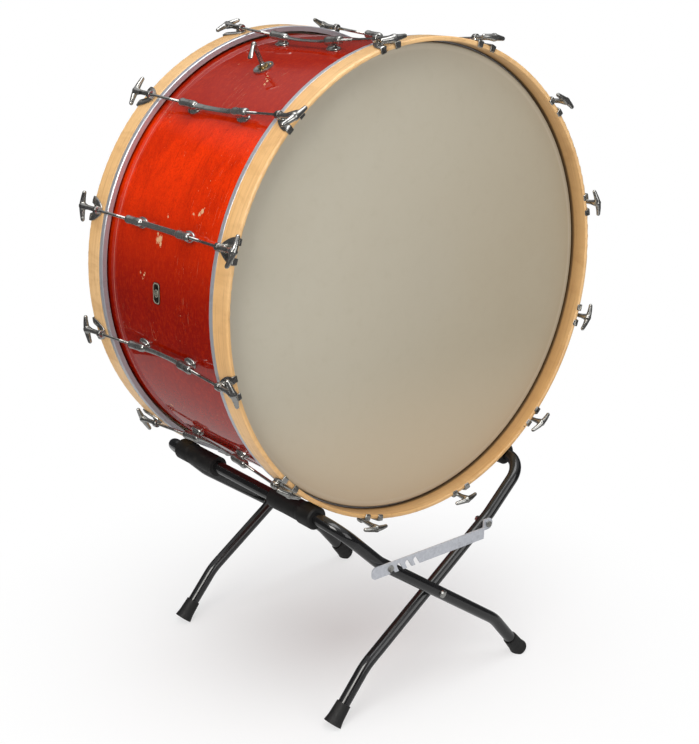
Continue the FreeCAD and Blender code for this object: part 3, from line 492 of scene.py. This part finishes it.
def lathe_y(bm, profile, height, sides=32):
    """Turns (radius, y) pairs, in mm, about a line along Y at x = 0 and z = height in m."""
    rings = [
        [(r * MM * math.cos(turn), y * MM, height + r * MM * math.sin(turn)) for turn in circle(sides)]
        for r, y in profile
    ]
    from_rings(bm, rings)


def limb(bm, centres, widths, depths, power=1.0):
    """A tube of oval sections along a line of centres.

    widths are half sizes towards +Z, depths across it. A power below 1 squares the ovals.
    """
    side = Vector((0, 0, 1))
    rings = []
    for index, centre in enumerate(centres):
        ahead = Vector(centres[min(index + 1, len(centres) - 1)])
        back = Vector(centres[max(index - 1, 0)])
        along = (ahead - back).normalized()
        across = along.cross(side).normalized()
        upright = across.cross(along).normalized()
        ring = []
        for turn in circle(20):
            c, s = squared(turn, power)
            ring.append(Vector(centre) + across * (depths[index] * c) + upright * (widths[index] * s))
        rings.append(ring)
    from_rings(bm, rings)


def squared(turn, power):
    """The cosine and sine of an angle, each raised to a power with its sign kept."""
    c, s = math.cos(turn), math.sin(turn)
    return math.copysign(abs(c) ** power, c), math.copysign(abs(s) ** power, s)


def evaluated(obj):
    """A copy of an object's mesh with its modifiers applied."""
    graph = bpy.context.evaluated_depsgraph_get()
    return bpy.data.meshes.new_from_object(obj.evaluated_get(graph))


def fused(name, bm, voxel, smoothing, holes=()):
    """One closed skin from overlapping solids, softened a little, with round holes cut through."""
    bmesh.ops.recalc_face_normals(bm, faces=bm.faces)
    mesh = bpy.data.meshes.new(name)
    bm.to_mesh(mesh)
    bm.free()
    obj = new_object(name, mesh)
    remesh = obj.modifiers.new("remesh", "REMESH")
    remesh.mode = "VOXEL"
    remesh.voxel_size = voxel
    remesh.use_smooth_shade = True
    soften = obj.modifiers.new("soften", "SMOOTH")
    soften.factor = 0.5
    soften.iterations = smoothing
    cutters = []
    for start, end, radius in holes:
        cut = bmesh.new()
        axis = Vector(end) - Vector(start)
        turn = axis.to_track_quat("Z", "Y").to_matrix().to_4x4()
        middle = Matrix.Translation((Vector(start) + Vector(end)) / 2)
        bmesh.ops.create_cone(
            cut, cap_ends=True, segments=20, radius1=radius, radius2=radius,
            depth=axis.length, matrix=middle @ turn,
        )
        cut_mesh = bpy.data.meshes.new("cutter")
        cut.to_mesh(cut_mesh)
        cut.free()
        cutter = new_object("cutter", cut_mesh)
        cutters.append(cutter)
        boolean = obj.modifiers.new("hole", "BOOLEAN")
        boolean.operation = "DIFFERENCE"
        boolean.object = cutter
        boolean.solver = "EXACT"
    result = evaluated(obj)
    for extra in cutters + [obj]:
        bpy.data.objects.remove(extra)
    return result


def smooth(mesh, angle):
    """Smooth shading, apart from edges sharper than an angle in degrees."""
    mesh.polygons.foreach_set("use_smooth", [True] * len(mesh.polygons))
    mesh.set_sharp_from_angle(angle=math.radians(angle))


def station_matrix(angle, side, along=0.0):
    """From a station's frame, X round the drum, Y outwards and Z radial, to the row frame."""
    outward = Vector((0, side, 0))
    radial = Vector((math.cos(math.radians(angle)), 0, math.sin(math.radians(angle))))
    across = outward.cross(radial)
    return Matrix(
        (
            (across.x, outward.x, radial.x, 0),
            (across.y, outward.y, radial.y, side * along),
            (across.z, outward.z, radial.z, AXIS),
            (0, 0, 0, 1),
        )
    )


def lean_matrix():
    """In a station's frame, turns what is drawn along the drum to lean from the claw's ear to the lug."""
    joint = next(j for j in frame["joints"] if j["child"] == "rod_front_01")
    x, z = joint["pos_m"][0], joint["pos_m"][2] - AXIS
    reach = math.hypot(x, z)
    angle = math.asin((joint["axis"][0] * x + joint["axis"][2] * z) / reach)
    ear = Matrix.Translation((0, abs(joint["pos_m"][1]), reach))
    return ear @ Matrix.Rotation(angle, 4, "X") @ ear.inverted()


LEAN = lean_matrix()


def leaned(start_y, end_y):
    """Two points on a rod's own line, from their places along the drum before the lean, in mm."""
    return tuple(LEAN @ Vector((0, y * MM, ROD_CIRCLE)) for y in (start_y, end_y))


def add_part(bm, part, *places):
    """Adds copies of one bmesh to another, each moved by a matrix, and frees it."""
    for place in places:
        mesh = bpy.data.meshes.new("part")
        part.to_mesh(mesh)
        mesh.transform(place)
        bm.from_mesh(mesh)
        bpy.data.meshes.remove(mesh)
    part.free()


def finished(name, mesh, slot, node, body):
    """A new piece with its paint, the CAD node that it stands for, its slot and its body."""
    smooth(mesh, EDGE_ANGLE)
    obj = new_object(name, mesh)
    paint(obj, slot)
    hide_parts(node)
    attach(obj, body)


def joined(name, parts):
    """One mesh from copies of others, each given with its place."""
    bm = bmesh.new()
    for mesh, place in parts:
        copy = mesh.copy()
        copy.transform(place)
        bm.from_mesh(copy)
        bpy.data.meshes.remove(copy)
    out = bpy.data.meshes.new(name)
    bm.to_mesh(out)
    bm.free()
    return out


# ---------------------------------------------------------------- tension rods, in mm
HANDLE_PLACE = 260.0    # the cross handle's middle, along the rod
HANDLE_HALF = 31.0      # from its middle to an end
HANDLE_BOW = 5.0        # how far its ends are swept back
HANDLE_ROUND = 0.86     # share of its half length where the rounding of its end starts
HANDLE_HOLES = ((-21, 2.3), (-13, 0.9), (13, 0.9), (21, 2.3))  # place across, sweep there
HANDLE_HOLE_RADIUS = 1.25
HANDLE_WIDTH, HANDLE_DEPTH = (6.6, 3.0), (6.2, 2.8)  # half sizes at the middle, and their loss by the end
HANDLE_VOXEL = 0.7      # size of the remeshing of handle and lever
HUB = (  # radius and place along the rod
    (4.6, 215.6), (5.3, 216.2), (5.3, 218.0), (4.7, 218.8), (4.7, 238.0), (5.0, 243.0), (5.8, 248.0),
    (7.0, 253.0), (7.9, 257.5), (7.7, 261.0), (6.0, 264.2), (2.5, 265.9),
)
ROD_TIP = ((0.4, 82.0), (1.8, 82.1), (2.6, 83.0))
ROD_RADIUS = 2.98
THREAD_ROOT = 2.62
THREAD_START, THREAD_END, THREAD_PITCH = 83.4, 142.0, 1.2
ROD_TOP = 216.5


def closing(t, start, least):
    """1 up to start, then falling as a quarter circle to least at 1."""
    return max(math.sqrt(max(0.0, 1 - max(0.0, (t - start) / (1 - start)) ** 2)), least)


def handle_mesh():
    """The bowed, pierced cross handle with its flared hub and stem."""
    bm = bmesh.new()
    steps = 36
    centres, widths, depths = [], [], []
    for i in range(steps + 1):
        u = -1 + 2 * i / steps
        a = abs(u)
        end = closing(a, HANDLE_ROUND, 0.05)
        knob = 0.2 * math.exp(-(((a - 0.88) / 0.10) ** 2))
        centres.append((HANDLE_HALF * u * MM, (HANDLE_PLACE - HANDLE_BOW * u * u) * MM, ROD_CIRCLE))
        for sizes, (middle, loss) in ((widths, HANDLE_WIDTH), (depths, HANDLE_DEPTH)):
            sizes.append((middle - loss * a + knob) * end * MM)
    limb(bm, centres, widths, depths)
    lathe_y(bm, HUB, ROD_CIRCLE, 28)
    holes = []
    for x, sweep in HANDLE_HOLES:
        low, high = (
            (x * MM, (HANDLE_PLACE - sweep) * MM, ROD_CIRCLE + reach) for reach in (-0.02, 0.02)
        )
        holes.append((low, high, HANDLE_HOLE_RADIUS * MM))
    return fused("handle", bm, HANDLE_VOXEL * MM, 3, holes)


def shaft_mesh():
    """The rod's shaft, with its thread from the tip to part way up."""
    bm = bmesh.new()
    profile = list(ROD_TIP)
    y = THREAD_START
    while y < THREAD_END:
        profile += [(ROD_RADIUS, y), (THREAD_ROOT, y + THREAD_PITCH / 2)]
        y += THREAD_PITCH
    profile += [(2.95, y + 0.4), (ROD_RADIUS, ROD_TOP)]
    lathe_y(bm, profile, ROD_CIRCLE, 20)
    mesh = bpy.data.meshes.new("shaft")
    bmesh.ops.recalc_face_normals(bm, faces=bm.faces)
    bm.to_mesh(mesh)
    bm.free()
    return mesh


def handle_tilt(index):
    """How far a handle was left turned, in degrees. It goes a little either way round the drum."""
    return 16.0 * math.sin(math.radians(60.0 * index + 25.0))


def make_rods():
    handle, shaft = handle_mesh(), shaft_mesh()
    pivot = Matrix.Translation((0, 0, ROD_CIRCLE))
    for joint in frame["joints"]:
        body = joint["child"]
        if not body.startswith("rod_"):
            continue
        _, end, number = body.split("_")
        index = int(number) - 1
        side = -1 if end == "front" else 1
        place = joint["pos_m"]
        angle = math.degrees(math.atan2(place[2] - AXIS, place[0]))
        tilt = pivot @ Matrix.Rotation(math.radians(handle_tilt(index)), 4, "Y") @ pivot.inverted()
        matrix = station_matrix(angle, side) @ LEAN @ tilt
        name = "t_rod_%s_%s" % (end, number)
        mesh = joined(name, [(handle, matrix), (shaft, matrix)])
        finished(name, mesh, "plated_steel", "tension_rod_%s_%s" % (end, number), body)


# ---------------------------------------------------------------- claws, in mm
CLAW_START = 205.0    # where the ear and the leaves start, along the drum
CLAW_RUN = 40.2       # from there to the hoop's rim
CLAW_SPLIT = 0.42     # share of the run before the two leaves part
CLAW_RIM = 0.80       # share of a leaf's length that lies on the hoop
CLAW_FOLD = 0.74      # share of it where the fold over the rim starts
HOOK_DROP = 11.0      # how far the hook comes down over the rim
HOOK_FACES = (246.3, 243.5)                                  # the hook's outer and inner face
EAR = ((7.4, 205.0), (8.0, 205.8), (8.0, 214.2), (7.4, 215.0))   # radius and place along the drum
EAR_END = 215.0
EAR_FOOT = 472.6      # radius from the drum's axis of the web under the ear
WEB = ((205.2, 6.6), (215.0, 6.2), (219.0, 4.4), (223.0, 2.4))   # place along the drum, half width
WEB_TOP, WEB_FALL = 482.0, 0.95                              # the web's top, and its slope past the ear
LEAF_GAP = 10.2       # half the gap between the two leaves at the rim
LEAF_HALF, LEAF_SPREAD = 6.5, 18.0   # half width of the claw by its ear, and how much wider the rim is
ROD_BORE, STEM_ROOM = 3.5, 6.2       # radii
CLAW_VOXEL = 0.75     # size of the remeshing


def leaf(bm, side):
    """One cambered leaf of a claw, from the ear to the rim, then down over the rim as a hook."""
    steps, lanes = 26, 9
    top, low = [], []
    for i in range(steps + 1):
        s = i / steps
        run = min(s / CLAW_RIM, 1.0)
        inner = LEAF_GAP * (max(0.0, run - CLAW_SPLIT) / (1 - CLAW_SPLIT)) ** 0.8
        outer = LEAF_HALF + LEAF_SPREAD * math.sin(0.5 * math.pi * min(run * 1.04, 1.0)) ** 0.9
        y = CLAW_START + CLAW_RUN * run
        drop = HOOK_DROP * max(0.0, (s - CLAW_RIM) / (1 - CLAW_RIM))
        if s > CLAW_FOLD:
            fold = (s - CLAW_FOLD) / (1 - CLAW_FOLD)
            y -= 0.9 * (1 - min(fold * 3, 1.0)) ** 2
            inner += 1.2 * max(0.0, fold - 0.3)
            outer -= 4.0 * max(0.0, fold - 0.3) ** 2
        row_top, row_low = [], []
        for j in range(lanes + 1):
            t = j / lanes
            x = inner + (outer - inner) * t
            seat = math.sqrt(HOOP ** 2 - (x * MM) ** 2) / MM
            crown = 1.9 * math.sin(math.pi * t) ** 0.7 + 0.5
            if drop > 0.0:
                row_top.append((side * x, HOOK_FACES[0], seat + 2.6 - drop))
                row_low.append((side * x, HOOK_FACES[1], seat + 0.2 - drop))
            else:
                row_top.append((side * x, y, seat + 1.9 + crown))
                row_low.append((side * x, y, seat + 0.2))
        top.append(row_top)
        low.append(row_low)
    rings = []
    for a, b in zip(top, low):
        loop = a + list(reversed(b))
        rings.append([Vector(p) * MM for p in loop])
    from_rings(bm, rings)


def claw_mesh():
    """One claw: two leaves, and a bored ear on a web between them."""
    bm = bmesh.new()
    leaf(bm, 1)
    leaf(bm, -1)
    ear = bmesh.new()
    lathe_y(ear, EAR, ROD_CIRCLE)
    add_part(bm, ear, LEAN)
    web = []
    for y, half in WEB:
        top = WEB_TOP - max(0.0, y - EAR_END) * WEB_FALL
        corners = ((-half, y, EAR_FOOT), (half, y, EAR_FOOT), (half, y, top), (-half, y, top))
        web.append([Vector(corner) * MM for corner in corners])
    from_rings(bm, web)
    rod_bore = (*leaned(200.0, 215.2), ROD_BORE * MM)
    stem_room = (*leaned(215.2, 260.0), STEM_ROOM * MM)
    return fused("claw", bm, CLAW_VOXEL * MM, 2, (rod_bore, stem_room))


def make_claws(rod_angles):
    claw = claw_mesh()
    for name, side in (("front", -1), ("back", 1)):
        mesh = joined(name + "_claw_set", [(claw, station_matrix(a, side)) for a in rod_angles])
        finished(name + "_claw_set", mesh, "plated_steel", name + "_claws", "drum")


# ---------------------------------------------------------------- lugs, in mm
LUG_BOSS = (  # radius and place along the drum
    (2.5, 58.8), (5.4, 59.6), (7.2, 61.8), (8.3, 65.5), (8.6, 70.5), (8.3, 76.0), (8.0, 82.0), (8.0, 96.0),
    (8.5, 97.5), (8.6, 103.0), (7.8, 106.0), (5.6, 107.8),
)
LUG_FOOT = (  # radius from the drum's axis, half sizes round and along the drum, place along it
    (453.0, 11.2, 18.0, 80.0), (457.4, 11.2, 18.0, 80.0), (458.9, 10.6, 17.2, 80.0),
    (460.0, 8.0, 13.6, 79.0), (462.6, 6.0, 11.0, 78.0), (466.0, 5.4, 10.4, 78.0), (470.0, 5.6, 10.8, 78.5),
)
STRAP_HALF = 64.0      # from the strap's middle to a boss
STRAP_MIDDLE = 467.6   # radius from the drum's axis at its middle
STRAP_RISE = 2.6       # how much further out its ends are
LUG_MOUTH = 4.2        # radius of the hole that the rod goes into
LUG_VOXEL = 0.9        # size of the remeshing
SEAT_GAP = 0.0001      # between a lug's pads and the shell, m


def lug_mesh():
    """A bridge lug: two bosses on necks with oval pads, joined by a flat strap that dips a little."""
    bm = bmesh.new()
    mirror = Matrix.Diagonal((1, -1, 1, 1))
    boss = bmesh.new()
    lathe_y(boss, LUG_BOSS, ROD_CIRCLE)
    add_part(bm, boss, LEAN, mirror @ LEAN)
    foot = bmesh.new()
    from_rings(foot, [
        [(half_x * math.cos(t) * MM, (y + half_y * math.sin(t)) * MM, radius * MM) for t in circle(28)]
        for radius, half_x, half_y, y in LUG_FOOT
    ])
    add_part(bm, foot, Matrix(), mirror)
    centres, widths, depths = [], [], []
    for i in range(31):
        t = -1 + 2 * i / 30
        centres.append((0.0, STRAP_HALF * t * MM, (STRAP_MIDDLE + STRAP_RISE * abs(t) ** 2.4) * MM))
        widths.append((2.2 + 0.9 * abs(t) ** 3) * MM)
        depths.append((5.5 + 0.5 * abs(t) ** 2) * MM)
    limb(bm, centres, widths, depths, 0.6)
    mouth = (*leaned(81.0, 114.0), LUG_MOUTH * MM)
    holes = [mouth, (mirror @ mouth[0], mirror @ mouth[1], mouth[2])]
    mesh = fused("lug", bm, LUG_VOXEL * MM, 3, holes)
    for vertex in mesh.vertices:
        reach = math.hypot(vertex.co.x, vertex.co.z)
        if reach < SHELL + SEAT_GAP:
            scale = (SHELL + SEAT_GAP) / reach
            vertex.co.x *= scale
            vertex.co.z *= scale
    return mesh


def make_lugs(rod_angles):
    lug = lug_mesh()
    mesh = joined("lug_set", [(lug, station_matrix(a, -1)) for a in rod_angles])
    finished("lug_set", mesh, "plated_casting", "lug_castings", "drum")


# ---------------------------------------------------------------- tone control and badge, in mm
TONE_STEM = (  # radius, and radius from the drum's axis
    (6.4, 461.9), (6.6, 463.0), (6.2, 464.4), (5.0, 466.0), (4.6, 470.0), (4.2, 486.0), (4.4, 497.0),
    (5.0, 501.0), (5.4, 505.0), (4.6, 508.6), (2.2, 510.0),
)
TONE_LEVER_TURN = 23.0      # the lever's direction at rest, from across the drum, degrees
TONE_SCREW_CIRCLE = 14.2
TONE_SCREW_FIRST = 35       # degrees
TONE_PLATE_TOP = 2.6        # the plate's height over the shell under the screws
FELT = (  # radius and place along the pad's own line
    (2.0, 200.7), (12.0, 200.65), (21.5, 200.7), (23.3, 201.3), (23.9, 203.0), (24.0, 206.0),
    (23.8, 209.0), (22.8, 211.0), (20.5, 212.2), (12.0, 212.55), (2.0, 212.6),
)
FELT_HEIGHT = 0.390         # of the pad's line from the drum's axis, m
FELT_TURN = 48.0 - 90.0     # the pad's direction at rest, degrees
BADGE_FACE = 1.15           # the badge's face over the shell
RELIEF = (  # half sizes along and across the badge, power of the oval, points in it, half width
    (18.8, 9.9, 0.5, 72, 1.0), (7.0, 5.2, 1.0, 48, 0.9), (3.2, 2.2, 1.0, 32, 0.7),
)


def tone_place():
    """The tone control's angle round the drum, and its place along a front station."""
    joint = next(j for j in frame["joints"] if j["name"] == "tone_control_turn")
    axis = joint["axis"]
    return math.degrees(math.atan2(axis[2], axis[0])), -joint["pos_m"][1]


def make_tone_lever():
    """The lever: a stem, and a wing that droops and widens to its end."""
    angle, along = tone_place()
    bm = bmesh.new()
    from_rings(bm, [
        [Vector((radius * math.cos(t), radius * math.sin(t), z)) * MM for t in circle(24)]
        for radius, z in TONE_STEM
    ])
    centres, widths, depths = [], [], []
    for i in range(21):
        t = i / 20
        centres.append(((-2 + 32.0 * t) * MM, 0.0, (505.2 - 15.5 * t ** 1.35) * MM))
        end = closing(t, HANDLE_ROUND, 0.08)
        widths.append((3.6 - 0.9 * t) * end * MM)
        depths.append((3.8 + 2.6 * t ** 1.5) * end * MM)
    limb(bm, centres, widths, depths)
    mesh = fused("lever", bm, HANDLE_VOXEL * MM, 3)
    turn = Matrix.Rotation(math.radians(TONE_LEVER_TURN), 4, "Z")
    mesh.transform(station_matrix(angle, -1, along) @ turn)
    finished("tone_wing_lever", mesh, "plated_steel", "tone_lever", "tone_control")


def make_tone_screws():
    """Three domed screws round the tone control's base plate."""
    angle, along = tone_place()
    bm = bmesh.new()
    for index in range(3):
        turn = math.radians(TONE_SCREW_FIRST + 120 * index)
        x, y = TONE_SCREW_CIRCLE * math.cos(turn), TONE_SCREW_CIRCLE * math.sin(turn)
        z = math.sqrt((SHELL / MM + TONE_PLATE_TOP) ** 2 - x * x)
        bmesh.ops.create_uvsphere(
            bm, u_segments=18, v_segments=10, radius=2.5 * MM,
            matrix=Matrix.Translation(Vector((x, y, z)) * MM) @ Matrix.Diagonal((1, 1, 0.55, 1)),
        )
    mesh = bpy.data.meshes.new("tone_plate_screws")
    bm.transform(station_matrix(angle, -1, along))
    bm.to_mesh(mesh)
    bm.free()
    smooth(mesh, 40)
    obj = new_object("tone_plate_screws", mesh)
    paint(obj, "tone_brass")
    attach(obj, "drum")


def make_felt():
    """The tone control's felt pad, soft at its edges."""
    angle, along = tone_place()
    bm = bmesh.new()
    lathe_y(bm, FELT, FELT_HEIGHT, 48)
    bm.transform(Matrix.Rotation(math.radians(FELT_TURN), 4, "Z"))
    mesh = bpy.data.meshes.new("felt_damper")
    bmesh.ops.recalc_face_normals(bm, faces=bm.faces)
    bm.transform(station_matrix(angle, -1, along))
    bm.to_mesh(mesh)
    bm.free()
    smooth(mesh, 60)
    obj = new_object("felt_damper", mesh)
    paint(obj, "felt")
    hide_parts("tone_pad")
    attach(obj, "tone_control")


def ridge(bm, points, half):
    """A rounded ridge along a closed line of points on the badge's face."""
    face = SHELL / MM + BADGE_FACE
    count, steps = len(points), 8
    rings = []
    for i, (x, y) in enumerate(points):
        nx, ny = points[(i + 1) % count]
        px, py = points[i - 1]
        out = Vector((ny - py, px - nx)).normalized()
        ring = []
        for step in range(steps):
            turn = math.pi * step / (steps - 1)
            a = half * math.cos(turn)
            height = face + 0.8 * half * math.sin(turn) - 0.25
            ring.append(bm.verts.new(Vector((x + out.x * a, y + out.y * a, height)) * MM))
        rings.append(ring)
    for a, b in zip(rings, rings[1:] + rings[:1]):
        for k in range(steps):
            bm.faces.new((a[k], a[(k + 1) % steps], b[(k + 1) % steps], b[k]))


def make_badge_relief():
    """A raised border and two plain ovals on the badge."""
    low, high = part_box("badge_plate")
    middle = (low + high) / 2
    angle = math.degrees(math.atan2(middle.z - AXIS, middle.x))
    bm = bmesh.new()
    for half_x, half_y, power, count, half in RELIEF:
        line = [squared(turn, power) for turn in circle(count)]
        ridge(bm, [(half_x * c, half_y * s) for c, s in line], half)
    mesh = bpy.data.meshes.new("badge_relief")
    bmesh.ops.recalc_face_normals(bm, faces=bm.faces)
    for vertex in bm.verts:
        drop = SHELL - math.sqrt(SHELL ** 2 - vertex.co.x ** 2)
        vertex.co.z -= drop
    bm.transform(station_matrix(angle, -1, -middle.y))
    bm.to_mesh(mesh)
    bm.free()
    smooth(mesh, 60)
    obj = new_object("badge_relief", mesh)
    obj.data.materials.append(
        metal_material(
            "worn_badge_relief", (0.62, 0.58, 0.46), (0.36, 0.33, 0.25), 0.28, 0.45, 0.4, 160.0, metallic=0.55
        )
    )
    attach(obj, "drum")


rod_angles = sorted(
    math.degrees(math.atan2(j["pos_m"][2] - AXIS, j["pos_m"][0]))
    for j in frame["joints"]
    if j["child"].startswith("rod_front")
)
make_rods()
make_claws(rod_angles)
make_lugs(rod_angles)
make_tone_lever()
make_tone_screws()
make_felt()
make_badge_relief()


# ---------------------------------------------------------------- smooth shading of the CAD nodes
for obj in nodes.values():
    if not obj.hide_render:
        obj.data.polygons.foreach_set("use_smooth", [True] * len(obj.data.polygons))


# ---------------------------------------------------------------- floor, backdrop and light, in m
GLOW = 1.0                 # the floor's and backdrop's own light, away from the drum
REFLECTED_GLOW = 0.43      # that of the floor as the varnish and the metals reflect it
FLOOR_NEAR, FLOOR_FAR = 1.45, 60.0
WHITE = (1, 1, 1, 1)


def emission_mix(name, inner, outer, strength):
    """Pale floor paint that turns to an even glow between two distances from the middle."""
    m = Nodes(name)
    place = m.place()
    flat = m.add("ShaderNodeVectorMath", operation="LENGTH")
    m.link(place, flat.inputs[0])
    glow = m.add("ShaderNodeEmission")
    glow.inputs["Color"].default_value = WHITE
    glow.inputs["Strength"].default_value = strength
    mix = m.add("ShaderNodeMixShader")
    m.link(m.ramp(flat.outputs["Value"], inner, outer), mix.inputs[0])
    m.set("Base Color", (0.93, 0.93, 0.93))
    m.set("Roughness", 0.9)
    m.set("Specular IOR Level", 0.1)
    m.link(m.shader.outputs[0], mix.inputs[1])
    m.link(glow.outputs[0], mix.inputs[2])
    output = m.tree.nodes["Material Output"]
    m.link(mix.outputs[0], output.inputs["Surface"])
    return m.material


def disc(name, inner, outer, z, material):
    """A flat disc of the stage, with a round hole in it if inner is above 0."""
    bm = bmesh.new()
    count = 128
    rim, hole = (
        [bm.verts.new((radius * math.cos(t), radius * math.sin(t), z)) for t in circle(count if radius else 0)]
        for radius in (outer, inner)
    )
    if hole:
        for i in range(count):
            bm.faces.new((rim[i], rim[(i + 1) % count], hole[(i + 1) % count], hole[i]))
    else:
        bm.faces.new(rim)
    mesh = bpy.data.meshes.new(name)
    bmesh.ops.recalc_face_normals(bm, faces=bm.faces)
    bm.to_mesh(mesh)
    bm.free()
    obj = new_object(name, mesh)
    mesh.materials.append(material)
    return obj


# The floor is seen directly and gives its light. The mirrored floor is only seen in reflections.
floor_paint = emission_mix("pale_floor", -0.45, 0.95, GLOW)
mirrored_paint = emission_mix("mirrored_floor", -2.0, -1.0, REFLECTED_GLOW)
near_floor = disc("near_floor", 0.0, FLOOR_NEAR, 0.0, floor_paint)
far_floor = disc("far_floor", FLOOR_NEAR, FLOOR_FAR, 0.0, floor_paint)
mirrored_floor = disc("mirrored_floor", 0.0, FLOOR_NEAR, -0.001, mirrored_paint)
near_floor.visible_glossy = False
far_floor.visible_glossy = False
OTHER_RAYS = ("visible_diffuse", "visible_shadow", "visible_transmission")
for ray in ("visible_camera", *OTHER_RAYS):
    setattr(mirrored_floor, ray, False)

wall = bmesh.new()
bmesh.ops.create_uvsphere(wall, u_segments=48, v_segments=24, radius=FLOOR_FAR)
wall_mesh = bpy.data.meshes.new("backdrop")
wall.to_mesh(wall_mesh)
wall.free()
backdrop = new_object("backdrop", wall_mesh)
wall_mesh.materials.append(floor_paint)
for ray in ("visible_glossy", *OTHER_RAYS):
    setattr(backdrop, ray, False)


def area_light(name, place, target, size, power, colour=(1, 1, 1)):
    """A square softbox of a size in m and a power in W, turned to face a target."""
    data = bpy.data.lights.new(name, "AREA")
    data.shape = "RECTANGLE"
    data.size = data.size_y = size
    data.energy = power
    data.color = colour
    obj = bpy.data.objects.new(name, data)
    obj.location = place
    obj.rotation_mode = "QUATERNION"
    obj.rotation_quaternion = (Vector(target) - Vector(place)).to_track_quat("-Z", "Y")
    bpy.context.scene.collection.objects.link(obj)


area_light("overhead_softbox", (-0.3, -0.6, 4.2), (0, 0, 0.6), 3.0, 70)
area_light("left_key_softbox", (-3.2, -1.6, 2.7), (-0.2, 0, 0.9), 1.8, 76, (1.0, 0.97, 0.93))
area_light("front_fill_softbox", (0.1, -4.0, 1.5), (0, 0, 0.7), 2.4, 31)

# The sky's light: dark up to a little above level, then bright, with 0 straight down and 1 straight up.
world = bpy.data.worlds.new("studio")
bpy.context.scene.world = world
world.use_nodes = True
tree = world.node_tree
background = tree.nodes["Background"]
coords = tree.nodes.new("ShaderNodeTexCoord")
split = tree.nodes.new("ShaderNodeSeparateXYZ")
tree.links.new(coords.outputs["Generated"], split.inputs[0])
levels = tree.nodes.new("ShaderNodeValToRGB")
levels.color_ramp.elements[0].position = 0.0
levels.color_ramp.elements[0].color = (0.05, 0.05, 0.055, 1)
levels.color_ramp.elements[1].position = 1.0
levels.color_ramp.elements[1].color = (0.80, 0.80, 0.82, 1)
for position, value in ((0.74, 0.06), (0.80, 0.42), (0.90, 0.55)):
    stop = levels.color_ramp.elements.new(position)
    stop.color = (value, value, value * 1.02, 1)
shift = tree.nodes.new("ShaderNodeMath")
shift.operation = "MULTIPLY_ADD"
shift.inputs[1].default_value = 0.5
shift.inputs[2].default_value = 0.5
tree.links.new(split.outputs[2], shift.inputs[0])
tree.links.new(shift.outputs[0], levels.inputs[0])
tree.links.new(levels.outputs[0], background.inputs["Color"])
background.inputs["Strength"].default_value = 1.0

scene = bpy.context.scene
scene.view_settings.view_transform = "Standard"
scene.view_settings.look = "None"


# ---------------------------------------------------------------- camera
CAMERA_PLACE = (-1.6498, -1.97795, 1.45913)  # m
CAMERA_YAW, CAMERA_PITCH, CAMERA_ROLL = 39.948, 17.914, 0.758  # right of +Y, down, and tilt, degrees
CAMERA_LENS, CAMERA_SENSOR = 61.37, 36.0  # mm


def make_camera():
    data = bpy.data.cameras.new("camera")
    data.sensor_fit = "AUTO"
    data.sensor_width = CAMERA_SENSOR
    data.lens = CAMERA_LENS
    data.clip_start, data.clip_end = 0.05, 300.0
    obj = bpy.data.objects.new("camera", data)
    yaw, pitch, roll = (math.radians(v) for v in (CAMERA_YAW, CAMERA_PITCH, CAMERA_ROLL))
    ahead = Vector((math.sin(yaw) * math.cos(pitch), math.cos(yaw) * math.cos(pitch), -math.sin(pitch)))
    right = ahead.cross(Vector((0, 0, 1))).normalized()
    up = right.cross(ahead)
    leaned_right = right * math.cos(roll) + up * math.sin(roll)
    leaned_up = up * math.cos(roll) - right * math.sin(roll)
    turn = Matrix((leaned_right, leaned_up, -ahead)).transposed().to_4x4()
    obj.matrix_world = Matrix.Translation(CAMERA_PLACE) @ turn
    bpy.context.scene.collection.objects.link(obj)
    bpy.context.scene.camera = obj


make_camera()
